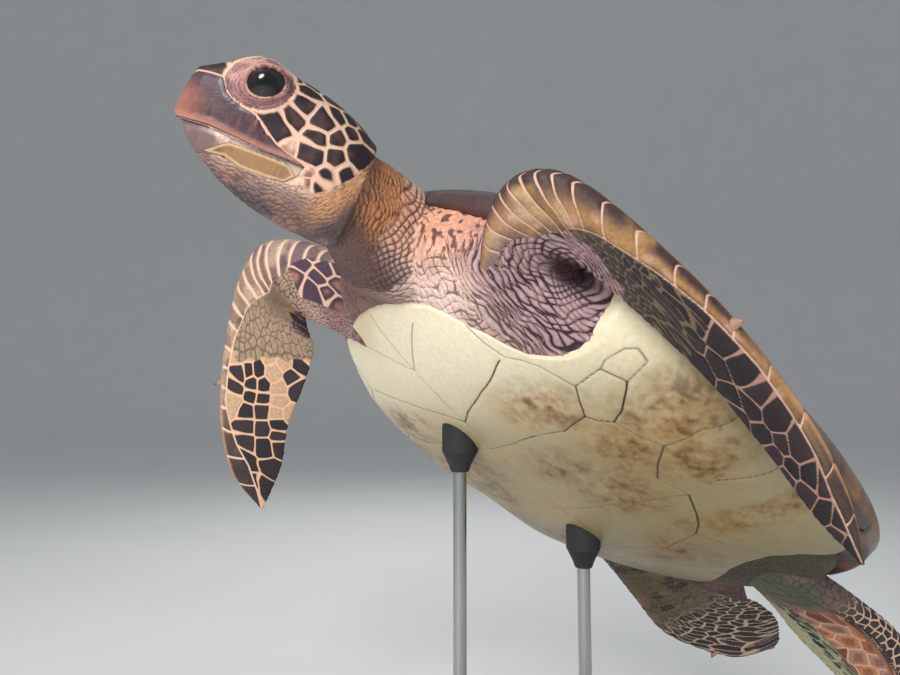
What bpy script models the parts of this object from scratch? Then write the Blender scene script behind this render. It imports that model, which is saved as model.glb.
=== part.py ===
"""Green sea turtle, life size, as a still museum model that swims on a display stand.

The animal is described in its own frame (X forward, Y to its left, Z to its back) in shares of the
shell's length, with the origin in the middle of the shell. One pose matrix then tilts it and lifts it
over the base. Each body form is a loft between cross-sections that come from short profile functions.
"""

import math

import bmesh
import bpy
import numpy as np
from mathutils import Matrix

# ---------------------------------------------------------------- driving dimensions
SHELL = 0.52  # straight length of the carapace, metres
PITCH = math.radians(40.2)  # nose up
ROLL = math.radians(8.5)  # left side up
LIFT = 0.385  # height of the shell's middle over the floor
GAP = 0.0003  # between touching pieces

# Shell, in shares of SHELL
HALF_WIDTH = 0.390
WIDEST = 0.47  # share of the way back
DOME = 0.186
DOME_POWER_FRONT = 1.3
DOME_POWER_REAR = 1.0
BELLY = 0.091
BELLY_EDGE = 0.020  # its depth at the rim
BELLY_CHIN = 0.22  # share of the way back where its full depth starts
BELLY_DEEPEST = 0.45  # and where it ends
RIM_RISE_FRONT = 0.034
RIM_RISE_REAR = 0.047
RIM_THICKNESS = 0.018
BELLY_WIDTH_FRONT = 0.95  # of the shell's width
BELLY_WIDTH_REAR = 0.90
BELLY_POWER_FRONT = 0.42  # a lower power gives a boxier section
BELLY_POWER_REAR = 0.82
FORE_END = 0.65  # share of the way back where the front part's sections end
FORE_BLEND = 0.20
GIRDLE_INSET = 0.95  # how much of the belly's width and depth the flesh beside the plastron has

# Head, in shares of SHELL: along it from the tip of the beak, and above the line of the mouth
HEAD_LENGTH = 0.232
HEAD_TIP = (0.760, 0.073, -0.137)
HEAD_FORWARD = (0.932, -0.154, -0.328)
HEAD_LEFT = (-0.012, 0.893, -0.451)
EYE_ALONG = 0.0873
EYE_UP = 0.0695
EYE_RADIUS = 0.028
EYE_SIDE = 0.0415  # the eye's middle, out from the head's midline

# Stand, metres
BASE_LENGTH = 0.44
BASE_WIDTH = 0.30
BASE_THICKNESS = 0.018
BASE_MIDDLE_X = 0.02
ROD_RADIUS = 0.006
CUP_RADIUS = 0.016
CUP_HEIGHT = 0.030
ROD_FEET = {"front": (0.125, -0.105), "rear": (-0.165, -0.060)}  # on the belly, in shares of SHELL

MATERIALS = {
    "carapace": ((0.16, 0.09, 0.05), 0.45),
    "plastron": ((0.72, 0.64, 0.46), 0.50),
    "skin": ((0.46, 0.33, 0.28), 0.60),
    "scales": ((0.14, 0.09, 0.10), 0.50),
    "beak": ((0.30, 0.18, 0.17), 0.40),
    "eye": ((0.01, 0.01, 0.012), 0.06),
    "claw": ((0.35, 0.26, 0.18), 0.40),
    "stand_base": ((0.05, 0.05, 0.055), 0.45),
    "stand_rod": ((0.60, 0.60, 0.62), 0.30),
}


# ---------------------------------------------------------------- curves and lofts
def unit(vector):
    vector = np.asarray(vector, float)
    return vector / np.linalg.norm(vector)


def smooth(stations, places):
    """Values read from a Catmull-Rom curve through the stations; places run from 0 to len - 1."""
    points = np.asarray(stations, float)
    if points.ndim == 1:
        points = points[:, None]
    padded = np.vstack([2 * points[0] - points[1], points, 2 * points[-1] - points[-2]])
    first = np.clip(np.floor(places).astype(int), 0, len(points) - 2)
    part = (places - first)[:, None]
    p0, p1, p2, p3 = (padded[first + k] for k in range(4))
    bend = 2 * p0 - 5 * p1 + 4 * p2 - p3
    twist = 3 * p1 - 3 * p2 + p3 - p0
    return p1 + 0.5 * part * (p2 - p0 + part * (bend + part * twist))


def superellipse(angle, power):
    """(cos, sin) of a rounder or squarer oval."""
    cosine, sine = np.cos(angle), np.sin(angle)
    return np.sign(cosine) * np.abs(cosine) ** power, np.sign(sine) * np.abs(sine) ** power


def loft_mesh(name, rings):
    """A closed mesh through rings of equal point counts, its two ends filled to their middles."""
    rings = np.asarray(rings, float)
    count, around = rings.shape[:2]
    ends = [rings[0].mean(axis=0), rings[-1].mean(axis=0)]
    points = np.vstack([rings.reshape(-1, 3), ends])
    faces = []
    for row in range(count - 1):
        for col in range(around):
            after = (col + 1) % around
            low, high = row * around, (row + 1) * around
            faces.append((low + col, low + after, high + after, high + col))
    tail = (count - 1) * around
    for col in range(around):
        after = (col + 1) % around
        faces.append((after, col, count * around))
        faces.append((tail + col, tail + after, count * around + 1))
    mesh = bpy.data.meshes.new(name)
    mesh.from_pydata(points.tolist(), [], faces)
    work = bmesh.new()
    work.from_mesh(mesh)
    bmesh.ops.remove_doubles(work, verts=work.verts, dist=1e-5)
    bmesh.ops.recalc_face_normals(work, faces=work.faces)
    if work.calc_volume(signed=True) < 0:
        bmesh.ops.reverse_faces(work, faces=work.faces)
    work.to_mesh(mesh)
    work.free()
    return mesh


def grown(mesh, by, name):
    """A copy of the mesh with each point moved out along its normal."""
    copy = mesh.copy()
    copy.name = name
    for vertex, normal in zip(copy.vertices, [v.normal.copy() for v in mesh.vertices]):
        vertex.co += normal * by
    return copy


def to_world(points):
    """Points of the animal's frame, in shares of SHELL, in world metres."""
    flat = np.asarray(points, float).reshape(-1, 3) * SHELL
    turned = flat @ np.array(POSE.to_3x3()).T + np.array([0, 0, LIFT])
    return turned.reshape(np.shape(points))


POSE = Matrix.Rotation(-PITCH, 4, "Y") @ Matrix.Rotation(ROLL, 4, "X")


# ---------------------------------------------------------------- shell profiles
def shell_half_width(s):
    """Half the shell's width, s being the share of the way from its front edge to its rear."""
    front = np.clip((WIDEST - s) / WIDEST, 0, 1)
    rear = np.clip((s - WIDEST) / (1 - WIDEST), 0, 1)
    return HALF_WIDTH * np.where(s < WIDEST, (1 - front**2.4) ** 0.6, (1 - rear**4.9) ** 0.86)


def rim_height(s):
    front = RIM_RISE_FRONT * np.clip(1 - s / 0.35, 0, 1) ** 2
    rear = RIM_RISE_REAR * np.clip((s - 0.6) / 0.4, 0, 1) ** 2
    return front + rear


def fore_share(s):
    """1 in the shell's front part and 0 in its rear, with a soft change between them."""
    fore = np.clip((FORE_END - s) / FORE_BLEND, 0, 1)
    return fore * fore * (3 - 2 * fore)


def dome_height(s):
    front = 1 - np.clip((0.4 - s) / 0.4, 0, 1) ** 2.3
    rear = 1 - np.clip((s - 0.4) / 0.6, 0, 1) ** 1.5
    return rim_height(s) + DOME * np.where(s < 0.4, front, rear) ** 0.8


def dome_power(s):
    """Power of the dome's section: over 1 its flanks are flatter towards the rim."""
    return DOME_POWER_REAR + (DOME_POWER_FRONT - DOME_POWER_REAR) * fore_share(s)


def belly_height(s):
    front = 1 - np.clip((BELLY_CHIN - s) / BELLY_CHIN, 0, 1) ** 4
    rear = 1 - np.clip((s - BELLY_DEEPEST) / (1 - BELLY_DEEPEST), 0, 1) ** 2.6
    return rim_height(s) - BELLY_EDGE - BELLY * np.where(s < BELLY_CHIN, front, rear) ** 0.7


def belly_section(s):
    """Half width of the belly, and the power that rounds its section: wide and boxy in front."""
    fore = fore_share(s)
    width = BELLY_WIDTH_REAR + (BELLY_WIDTH_FRONT - BELLY_WIDTH_REAR) * fore
    power = BELLY_POWER_REAR + (BELLY_POWER_FRONT - BELLY_POWER_REAR) * fore
    return width * shell_half_width(s), power


def belly_at(x, y):
    """Height of the belly's surface over a point of the plan."""
    s = np.asarray(0.5 - x, float)
    top = rim_height(s) - RIM_THICKNESS
    width, power = belly_section(s)
    across = np.clip(np.abs(y) / width, 0, 1)
    return top + (belly_height(s) - top) * np.sqrt(1 - across**2) ** power


def cosine_steps(low, high, count):
    return low + (high - low) * (1 - np.cos(np.linspace(0, math.pi, count))) / 2


def carapace_rings(count, around):
    """Dome above, and a flat underside stepped in from the rim."""
    rings = []
    angles = np.linspace(0, math.pi, around)
    for s in cosine_steps(0.002, 0.998, count):
        width, rim, top = shell_half_width(s), rim_height(s), dome_height(s)
        across = width * np.cos(angles)
        up = rim + (top - rim) * np.sin(angles) ** dome_power(s)
        under = rim - RIM_THICKNESS
        low_y = width * np.array([-0.97, -0.60, 0.0, 0.60, 0.97])
        ring_y = np.concatenate([across, low_y])
        ring_z = np.concatenate([up, np.full(len(low_y), under)])
        rings.append(np.stack([np.full(len(ring_y), 0.5 - s), ring_y, ring_z], axis=1))
    return np.array(rings)


def belly_rings(count, around, inset=1.0):
    """The body under the carapace; an inset under 1 makes it narrower and shallower."""
    rings = []
    angles = np.linspace(0, math.pi, around)
    for s in cosine_steps(0.004, 0.996, count):
        width, power = belly_section(s)
        width = width * inset
        top = rim_height(s) - RIM_THICKNESS - GAP / SHELL
        across = width * np.cos(angles)
        down = top + (belly_height(s) - top) * inset * np.sin(angles) ** power
        ring_y = np.concatenate([across, [-0.6 * width, 0, 0.6 * width]])
        ring_z = np.concatenate([down, [top, top, top]])
        rings.append(np.stack([np.full(len(ring_y), 0.5 - s), ring_y, ring_z], axis=1))
    return np.array(rings)


def plastron_outline():
    """Plan of the plastron's left half from front to back: front lobe, bridge and rear lobe."""
    front = np.linspace(0.392, 0.20, 11)
    front_y = 0.212 * (1 - np.clip((front - 0.20) / 0.192, 0, 1) ** 2.5) ** 0.5
    rear = np.linspace(-0.24, -0.41, 9)
    rear_y = 0.19 * (1 - np.clip((-0.24 - rear) / 0.17, 0, 1) ** 1.8) ** 0.6
    bridge = [(0.196, 0.25), (0.210, 0.30), (0.225, 0.40), (-0.38, 0.40), (-0.33, 0.31), (-0.25, 0.25)]
    return list(zip(front, front_y)) + bridge + list(zip(rear, rear_y))


def offset_outline(points, by):
    """A closed outline with every edge moved out by the same distance."""
    outline = np.array(points, float)
    ahead = np.roll(outline, -1, axis=0) - outline
    turning = np.sum(outline[:, 0] * ahead[:, 1] - outline[:, 1] * ahead[:, 0])
    normal = np.stack([ahead[:, 1], -ahead[:, 0]], axis=1) * np.sign(turning)
    normal /= np.linalg.norm(normal, axis=1)[:, None]
    before = np.roll(normal, 1, axis=0)
    mitre = (normal + before) / (1 + np.sum(normal * before, axis=1))[:, None]
    return outline + mitre * by


def outline_rings(grow):
    """The plastron's outline as a prism that reaches over the whole depth of the body."""
    half = plastron_outline()
    whole = offset_outline(half + [(x, -y) for x, y in half[-2:0:-1]], grow)
    return np.array([[(x, y, z) for x, y in whole] for z in (-0.30, 0.20)])


# ---------------------------------------------------------------- limbs, neck and tail
# Stations of each limb: leading edge, trailing edge and half thickness, from the body out.
FRONT_LEFT = {
    "leading": [
        (0.290, 0.140, -0.062), (0.345, 0.172, -0.056), (0.404, 0.228, -0.045), (0.439, 0.286, -0.032),
        (0.440, 0.345, -0.032), (0.401, 0.386, -0.033), (0.299, 0.432, -0.053), (0.191, 0.455, -0.064),
        (0.058, 0.461, -0.075), (-0.057, 0.450, -0.092), (-0.152, 0.427, -0.118),
    ],
    "trailing": [
        (0.165, 0.215, -0.030), (0.215, 0.240, -0.028), (0.268, 0.268, -0.024), (0.298, 0.292, -0.024),
        (0.306, 0.311, -0.029), (0.287, 0.326, -0.038), (0.209, 0.354, -0.052), (0.131, 0.380, -0.068),
        (0.025, 0.399, -0.092), (-0.070, 0.410, -0.112), (-0.150, 0.423, -0.119),
    ],
    "thickness": [0.050, 0.050, 0.044, 0.036, 0.030, 0.026, 0.021, 0.018, 0.014, 0.010, 0.005],
}
FRONT_RIGHT = {
    "leading": [
        (0.350, -0.080, 0.000), (0.421, -0.110, 0.020), (0.485, -0.183, 0.024), (0.547, -0.251, 0.022),
        (0.581, -0.306, -0.010), (0.563, -0.355, -0.071), (0.512, -0.399, -0.147), (0.453, -0.437, -0.218),
        (0.391, -0.473, -0.274), (0.311, -0.503, -0.321), (0.222, -0.515, -0.336),
    ],
    "trailing": [
        (0.300, -0.130, -0.080), (0.355, -0.130, -0.095), (0.394, -0.170, -0.092), (0.430, -0.218, -0.086),
        (0.440, -0.248, -0.080), (0.418, -0.268, -0.085), (0.384, -0.288, -0.098), (0.347, -0.335, -0.148),
        (0.310, -0.392, -0.206), (0.259, -0.445, -0.262), (0.217, -0.512, -0.335),
    ],
    "thickness": [0.045, 0.045, 0.042, 0.036, 0.030, 0.026, 0.021, 0.018, 0.014, 0.010, 0.005],
}
REAR_LEFT = {
    "leading": [
        (-0.300, 0.235, -0.025), (-0.390, 0.240, -0.018), (-0.480, 0.252, 0.000), (-0.580, 0.262, 0.010),
        (-0.680, 0.257, -0.008), (-0.770, 0.245, -0.036), (-0.832, 0.215, -0.070),
    ],
    "trailing": [
        (-0.290, 0.115, -0.035), (-0.365, 0.118, -0.035), (-0.440, 0.126, -0.040), (-0.520, 0.136, -0.056),
        (-0.615, 0.150, -0.065), (-0.720, 0.172, -0.077), (-0.825, 0.203, -0.078),
    ],
    "thickness": [0.040, 0.038, 0.030, 0.021, 0.014, 0.010, 0.005],
}
REAR_RIGHT = {
    "leading": [
        (-0.290, -0.215, -0.015), (-0.380, -0.208, -0.032), (-0.480, -0.203, -0.055), (-0.580, -0.197, -0.072),
        (-0.680, -0.178, -0.054), (-0.770, -0.148, -0.020), (-0.835, -0.112, 0.045),
    ],
    "trailing": [
        (-0.330, -0.085, -0.010), (-0.430, -0.075, 0.005), (-0.520, -0.068, 0.025), (-0.610, -0.070, 0.050),
        (-0.700, -0.077, 0.082), (-0.780, -0.082, 0.090), (-0.835, -0.100, 0.068),
    ],
    "thickness": [0.040, 0.038, 0.030, 0.021, 0.014, 0.010, 0.005],
}
# The neck's stations: its back line, its throat line and half its width.
NECK = {
    "leading": [
        (0.300, 0.000, 0.070), (0.400, 0.015, 0.067), (0.470, 0.060, 0.052), (0.522, 0.097, 0.028),
        (0.567, 0.120, -0.003), (0.607, 0.131, -0.026),
    ],
    "trailing": [
        (0.300, 0.000, -0.068), (0.385, 0.003, -0.079), (0.440, 0.026, -0.106), (0.490, 0.054, -0.113),
        (0.530, 0.077, -0.115), (0.570, 0.088, -0.121),
    ],
    "thickness": [0.150, 0.122, 0.085, 0.062, 0.053, 0.051],
}
TAIL = {
    "leading": [(-0.30, 0.0, 0.020), (-0.42, 0.0, 0.030), (-0.49, 0.0, 0.030), (-0.545, 0.0, 0.015)],
    "trailing": [(-0.30, 0.0, -0.060), (-0.40, 0.0, -0.045), (-0.48, 0.0, -0.020), (-0.548, 0.0, 0.004)],
    "thickness": [0.075, 0.050, 0.028, 0.006],
}
WRIST = 0.47  # share of a front limb's stations where its arm meets its blade
ANKLE = 0.42
CLAW_PLACE = 0.69
REAR_CLAW_PLACE = 0.74


def limb_frames(limb, shares):
    """Middle, half chord and unit normal of the limb's sections, and their half thicknesses."""
    last = len(limb["leading"]) - 1
    places = np.asarray(shares, float) * last
    leading = smooth(limb["leading"], places)
    trailing = smooth(limb["trailing"], places)
    thickness = smooth(limb["thickness"], places)[:, 0]
    middle = (leading + trailing) / 2
    chord = (leading - trailing) / 2
    step = 0.02 * last
    ahead = smooth(limb["leading"], np.clip(places + step, 0, last)) + smooth(
        limb["trailing"], np.clip(places + step, 0, last)
    )
    behind = smooth(limb["leading"], np.clip(places - step, 0, last)) + smooth(
        limb["trailing"], np.clip(places - step, 0, last)
    )
    normal = np.cross(ahead - behind, chord)
    normal /= np.linalg.norm(normal, axis=1)[:, None]
    return middle, chord, normal, thickness


def limb_rings(limb, start, end, count, around, taper):
    """Rings of an aerofoil section; taper is how much thinner the trailing edge is."""
    middle, chord, normal, thickness = limb_frames(limb, np.linspace(start, end, count))
    cosine, sine = superellipse(np.arange(around) * 2 * math.pi / around, 0.9)
    fullness = (1 - taper / 2) + taper / 2 * cosine
    return (
        middle[:, None]
        + chord[:, None] * cosine[None, :, None]
        + normal[:, None] * (thickness[:, None] * (sine * fullness)[None])[..., None]
    )


# ---------------------------------------------------------------- head profiles
# Along the head: share of its length, top and bottom of the profile, half width, in shares of SHELL.
HEAD_PLACES = [0.0, 0.03, 0.08, 0.16, 0.26, 0.36, 0.46, 0.58, 0.72, 0.86, 1.0]
HEAD_TOP = [0.026, 0.059, 0.068, 0.078, 0.088, 0.096, 0.098, 0.098, 0.094, 0.085, 0.070]
HEAD_BOTTOM = [0.004, -0.004, -0.015, -0.031, -0.044, -0.055, -0.063, -0.069, -0.073, -0.074, -0.073]
HEAD_HALF_WIDTH = [0.006, 0.020, 0.031, 0.041, 0.049, 0.055, 0.061, 0.067, 0.071, 0.070, 0.062]
ORBIT_BULGE = 0.012
ORBIT_SPREAD = 0.032
BROW_ALONG = 0.068
BROW_RISE = 0.0145
BROW_SPREAD = 0.030
BROW_AT_CROWN = 0.4  # share of the brow's rise that is left on the middle line
ROOF_POWER = 0.55  # superellipse power of the roof's corners at the snout
ROOF_ROUNDING = 0.20  # what it gains towards the back of the head
JAW_POWER = 0.92
WAIST_SHARE = 0.50  # height of the widest line between jaw and roof


def head_matrix():
    forward = unit(HEAD_FORWARD)
    left = unit(np.asarray(HEAD_LEFT) - np.dot(HEAD_LEFT, forward) * forward)
    return np.stack([forward, left, np.cross(forward, left)], axis=1)


def head_to_body(points):
    """Points of the head's frame: back along the head from its tip, left, and up from the mouth."""
    flat = np.asarray(points, float).reshape(-1, 3) * np.array([-1, 1, 1])
    return (flat @ head_matrix().T + np.array(HEAD_TIP)).reshape(np.shape(points))


def head_rings(count, around):
    """Sections with a broad flat roof, a rounder jaw and a swelling round each eye."""
    shares = np.linspace(0, 1, count) ** 1.5
    places = np.interp(shares, HEAD_PLACES, np.arange(len(HEAD_PLACES)))
    top = smooth(HEAD_TOP, places)[:, 0]
    bottom = smooth(HEAD_BOTTOM, places)[:, 0]
    width = smooth(HEAD_HALF_WIDTH, places)[:, 0]
    angles = np.arange(around) * 2 * math.pi / around
    roof = ROOF_POWER + ROOF_ROUNDING * np.clip((shares - 0.45) / 0.4, 0, 1)[:, None]
    cosine, sine = superellipse(angles, np.where(np.sin(angles) > 0, roof, JAW_POWER))
    waist = bottom + WAIST_SHARE * (top - bottom)
    reach = np.where(sine > 0, (top - waist)[:, None], (waist - bottom)[:, None])
    along = np.repeat((shares * HEAD_LENGTH)[:, None], around, axis=1)
    side = width[:, None] * cosine
    up = waist[:, None] + reach * sine
    off_eye = np.hypot(along - EYE_ALONG, up - EYE_UP)
    swell = ORBIT_BULGE * np.exp(-((off_eye / ORBIT_SPREAD) ** 2)) * np.abs(cosine) ** 0.5
    brow = BROW_RISE * np.exp(-(((along - BROW_ALONG) / BROW_SPREAD) ** 2))
    brow = brow * (BROW_AT_CROWN + (1 - BROW_AT_CROWN) * np.abs(cosine) ** 0.5)
    up = up + brow * np.clip(sine, 0, 1) ** 2
    side = side + np.sign(side) * swell
    return np.stack([along, side, up], axis=-1)


UPPER_BEAK = [  # outline on the side of the head, from the mouth's corner forward and up
    (0.160, 0.0006), (0.139, 0.0055), (0.120, 0.012), (0.100, 0.0255), (0.088, 0.032), (0.074, 0.034),
    (0.060, 0.0375), (0.049, 0.043), (0.039, 0.0575), (0.026, 0.0570), (0.010, 0.0550), (0.002, 0.0450),
    (-0.03, 0.0450), (-0.03, 0.0006),
]
LOWER_BEAK = [
    (0.160, -0.0006), (-0.03, -0.0006), (-0.03, -0.060), (0.043, -0.031), (0.072, -0.025), (0.091, -0.030),
    (0.125, -0.0285), (0.146, -0.025), (0.157, -0.013),
]


def beak_rings(outline, grow):
    """A side outline of the head as a prism right through it."""
    whole = offset_outline(outline, grow)
    return np.array([[(a, side, b) for a, b in whole] for side in (-0.12, 0.12)])


# ---------------------------------------------------------------- scene helpers
def clear_scene():
    for obj in list(bpy.data.objects):
        bpy.data.objects.remove(obj, do_unlink=True)


def new_collection(name):
    collection = bpy.data.collections.new(name)
    bpy.context.scene.collection.children.link(collection)
    return collection


def material(name):
    if name in bpy.data.materials:
        return bpy.data.materials[name]
    colour, roughness = MATERIALS[name]
    made = bpy.data.materials.new(name)
    made.use_nodes = True
    shader = made.node_tree.nodes["Principled BSDF"]
    shader.inputs["Base Color"].default_value = (*colour, 1)
    shader.inputs["Roughness"].default_value = roughness
    shader.inputs["Metallic"].default_value = 1.0 if name == "stand_rod" else 0.0
    made.diffuse_color = (*colour, 1)
    return made


def node(name, mesh, finish):
    """A visible piece of the model."""
    obj = bpy.data.objects.new(name, mesh)
    PARTS.objects.link(obj)
    if not mesh.materials:
        mesh.materials.append(material(finish))
    mesh.shade_smooth()
    return obj


def cutter(name, mesh):
    """A helper that only cuts or joins."""
    obj = bpy.data.objects.new(name, mesh)
    CUTTERS.objects.link(obj)
    obj.hide_render = True
    obj.display_type = "WIRE"
    return obj


def boolean(obj, operation, others):
    for other in others:
        modifier = obj.modifiers.new(f"{operation.lower()} {other.name}", "BOOLEAN")
        modifier.operation = operation
        modifier.solver = "EXACT"
        modifier.object = other


def body_mesh(name, rings):
    return loft_mesh(name, to_world(rings))


def grown_cutter(name, mesh):
    return cutter(name, grown(mesh, GAP, name))


# ---------------------------------------------------------------- sub-parts
def make_shell():
    """Carapace and plastron, and the cutters that keep the flesh clear of them."""
    carapace = body_mesh("carapace", carapace_rings(23, 17))
    node("carapace", carapace, "carapace")
    under = body_mesh("under body", belly_rings(22, 19))
    plastron = node("plastron", under, "plastron")
    outline = cutter("plastron outline", body_mesh("plastron outline", outline_rings(0)))
    boolean(plastron, "INTERSECT", [outline])
    clear_outline = cutter("outline clearance", body_mesh("outline clearance", outline_rings(GAP / SHELL)))
    clear_plastron = grown_cutter("plastron clearance", under)
    boolean(clear_plastron, "INTERSECT", [clear_outline])
    flesh = body_mesh("girdle flesh", belly_rings(22, 19, GIRDLE_INSET))
    return {
        "carapace": grown_cutter("carapace clearance", carapace),
        "plastron": clear_plastron,
        "outline": clear_outline,
        "flesh": flesh,
        "girdles": grown_cutter("girdle clearance", flesh),
    }


def make_girdles(shell):
    """The flesh between carapace and plastron, round the front limbs and round the rear limbs."""
    for name, start, end in (("shoulders", 0.1, 0.6), ("hips", -0.6, -0.15)):
        girdle = node(name, shell["flesh"].copy(), "skin")
        side = [[(x, y, z) for y, z in ((-1, -1), (1, -1), (1, 1), (-1, 1))] for x in (start, end)]
        half = cutter(f"{name} half", body_mesh(f"{name} half", side))
        boolean(girdle, "INTERSECT", [half])
        boolean(girdle, "DIFFERENCE", [shell["outline"]])


def make_head(shell):
    whole = body_mesh("head", head_to_body(head_rings(20, 24)))
    upper = cutter("upper beak side", body_mesh("upper beak side", head_to_body(beak_rings(UPPER_BEAK, 0))))
    lower = cutter("lower beak side", body_mesh("lower beak side", head_to_body(beak_rings(LOWER_BEAK, 0))))
    clear = [
        cutter(f"{name} clearance", body_mesh(name, head_to_body(beak_rings(outline, GAP / SHELL))))
        for name, outline in (("upper beak", UPPER_BEAK), ("lower beak", LOWER_BEAK))
    ]
    beaks = [node("upper_beak", whole.copy(), "beak"), node("lower_beak", whole.copy(), "beak")]
    boolean(beaks[0], "INTERSECT", [upper])
    boolean(beaks[1], "INTERSECT", [lower])
    head = node("head", whole, "scales")
    boolean(head, "DIFFERENCE", clear)
    for name, side in (("left", 1), ("right", -1)):
        place = to_world(head_to_body([(EYE_ALONG, side * EYE_SIDE, EYE_UP)]))[0]
        eye = node(f"eye_{name}", ball(f"eye_{name}", place, EYE_RADIUS * SHELL), "eye")
        socket = cutter(f"socket {name}", ball(f"socket {name}", place, EYE_RADIUS * SHELL + GAP))
        boolean(head, "DIFFERENCE", [socket])
    return grown_cutter("head clearance", whole)


def ball(name, place, radius):
    work = bmesh.new()
    bmesh.ops.create_uvsphere(
        work, u_segments=16, v_segments=10, radius=radius, matrix=Matrix.Translation(place.tolist())
    )
    mesh = bpy.data.meshes.new(name)
    work.to_mesh(mesh)
    work.free()
    return mesh


def make_neck(shell, head):
    mesh = body_mesh("neck", limb_rings(NECK, 0.05, 1, 10, 16, 0.0))
    neck = node("neck", mesh, "skin")
    boolean(neck, "DIFFERENCE", [shell["carapace"], shell["plastron"], shell["girdles"], head])
    return grown_cutter("neck clearance", mesh)


def make_claw(name, limb, share, length, clear):
    """A short hooked cone on the leading edge."""
    middle, chord, normal, thickness = (row[0] for row in limb_frames(limb, [share]))
    after = limb_frames(limb, [share + 0.05])[0][0]
    out, back = unit(chord), unit(after - middle)
    root = middle + chord * 0.97
    rings = []
    for part in np.linspace(0, 1, 6):
        centre = root - out * 0.010 + out * (0.010 + length) * part + back * length * 0.6 * part**2
        radius = 0.0085 * (1 - part) ** 0.7 + 0.0012
        angles = np.arange(8) * 2 * math.pi / 8
        ring = [centre + radius * (back * math.cos(a) + normal * 0.8 * math.sin(a)) for a in angles]
        rings.append(ring)
    claw = node(name, body_mesh(name, rings), "claw")
    boolean(claw, "DIFFERENCE", [clear])


def make_limb(limb, names, joint, claw_place, clearances):
    """An inner and an outer length with a thin cut between them, and the claw."""
    inner_name, outer_name, claw_name = names
    cut = GAP / SHELL / 2
    inner = body_mesh(inner_name, limb_rings(limb, 0.0, joint - cut, 12, 12, 0.55))
    outer = body_mesh(outer_name, limb_rings(limb, joint + cut, 1.0, 13, 12, 0.75))
    inner_node = node(inner_name, inner, "skin")
    boolean(inner_node, "DIFFERENCE", clearances)
    node(outer_name, outer, "scales")
    make_claw(claw_name, limb, claw_place, 0.016, grown_cutter(f"{outer_name} clearance", outer))


def make_tail(shell):
    tail = node("tail", body_mesh("tail", limb_rings(TAIL, 0, 1, 8, 12, 0.0)), "skin")
    boolean(tail, "DIFFERENCE", [shell["carapace"], shell["plastron"], shell["girdles"]])


def make_stand(shell):
    """A flat base with rounded edges, and two rods that end in cups under the belly."""
    bpy.ops.mesh.primitive_cube_add(size=1, location=(BASE_MIDDLE_X, 0, BASE_THICKNESS / 2))
    base = bpy.context.object
    base.name = "stand_base"
    base.data.transform(Matrix.Diagonal((BASE_LENGTH, BASE_WIDTH, BASE_THICKNESS, 1)))
    for collection in list(base.users_collection):
        collection.objects.unlink(base)
    PARTS.objects.link(base)
    base.data.materials.append(material("stand_base"))
    bevel = base.modifiers.new("edges", "BEVEL")
    bevel.width = 0.004
    bevel.segments = 2
    for name, (x, y) in ROD_FEET.items():
        contact = to_world([(x, y, float(belly_at(x, y)))])[0]
        low = BASE_THICKNESS + GAP
        neck = contact[2] - CUP_HEIGHT
        rod = turned(f"stand_rod_{name}", contact, [(ROD_RADIUS, low), (ROD_RADIUS, neck)], 20)
        node(f"stand_rod_{name}", rod, "stand_rod")
        profile = [
            (ROD_RADIUS + 0.002, neck + GAP),
            (ROD_RADIUS + 0.004, neck + 0.006),
            (CUP_RADIUS, neck + CUP_HEIGHT * 0.6),
            (CUP_RADIUS, contact[2] + 0.03),
        ]
        cup = node(f"stand_cup_{name}", turned(f"stand_cup_{name}", contact, profile, 24), "stand_base")
        boolean(cup, "DIFFERENCE", [shell["plastron"]])


def turned(name, place, profile, around):
    """A round upright piece from its radii and heights."""
    angles = np.arange(around) * 2 * math.pi / around
    rings = [
        [(place[0] + r * math.cos(a), place[1] + r * math.sin(a), z) for a in angles]
        for r, z in profile
    ]
    return loft_mesh(name, rings)


def main():
    shell = make_shell()
    make_girdles(shell)
    head = make_head(shell)
    neck = make_neck(shell, head)
    body = [shell["carapace"], shell["plastron"], shell["girdles"]]
    front = (("left", FRONT_LEFT), ("right", FRONT_RIGHT))
    for side, limb in front:
        names = (f"front_arm_{side}", f"front_flipper_{side}", f"front_claw_{side}")
        make_limb(limb, names, WRIST, CLAW_PLACE, body + [neck])
    rear = (("left", REAR_LEFT), ("right", REAR_RIGHT))
    for side, limb in rear:
        names = (f"rear_thigh_{side}", f"rear_flipper_{side}", f"rear_claw_{side}")
        make_limb(limb, names, ANKLE, REAR_CLAW_PLACE, body)
    make_tail(shell)
    make_stand(shell)


clear_scene()
PARTS = new_collection("green sea turtle")
CUTTERS = new_collection("cutters")
main()
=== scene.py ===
"""Looks of the life-size green sea turtle model: its skin, scutes, horn, eyes, stand and studio.

The animal's own frame is the one that its solids were shaped in: X forward, Y to its left, Z to its
back, in shares of the shell's length, with the origin in the middle of the shell. The shape functions
repeat those of the solids at a finer pitch, and patterns are laid out in the same named coordinates.
"""

import math

import bmesh
import bpy
import numpy as np
from mathutils import Matrix
from mathutils.bvhtree import BVHTree


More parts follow.
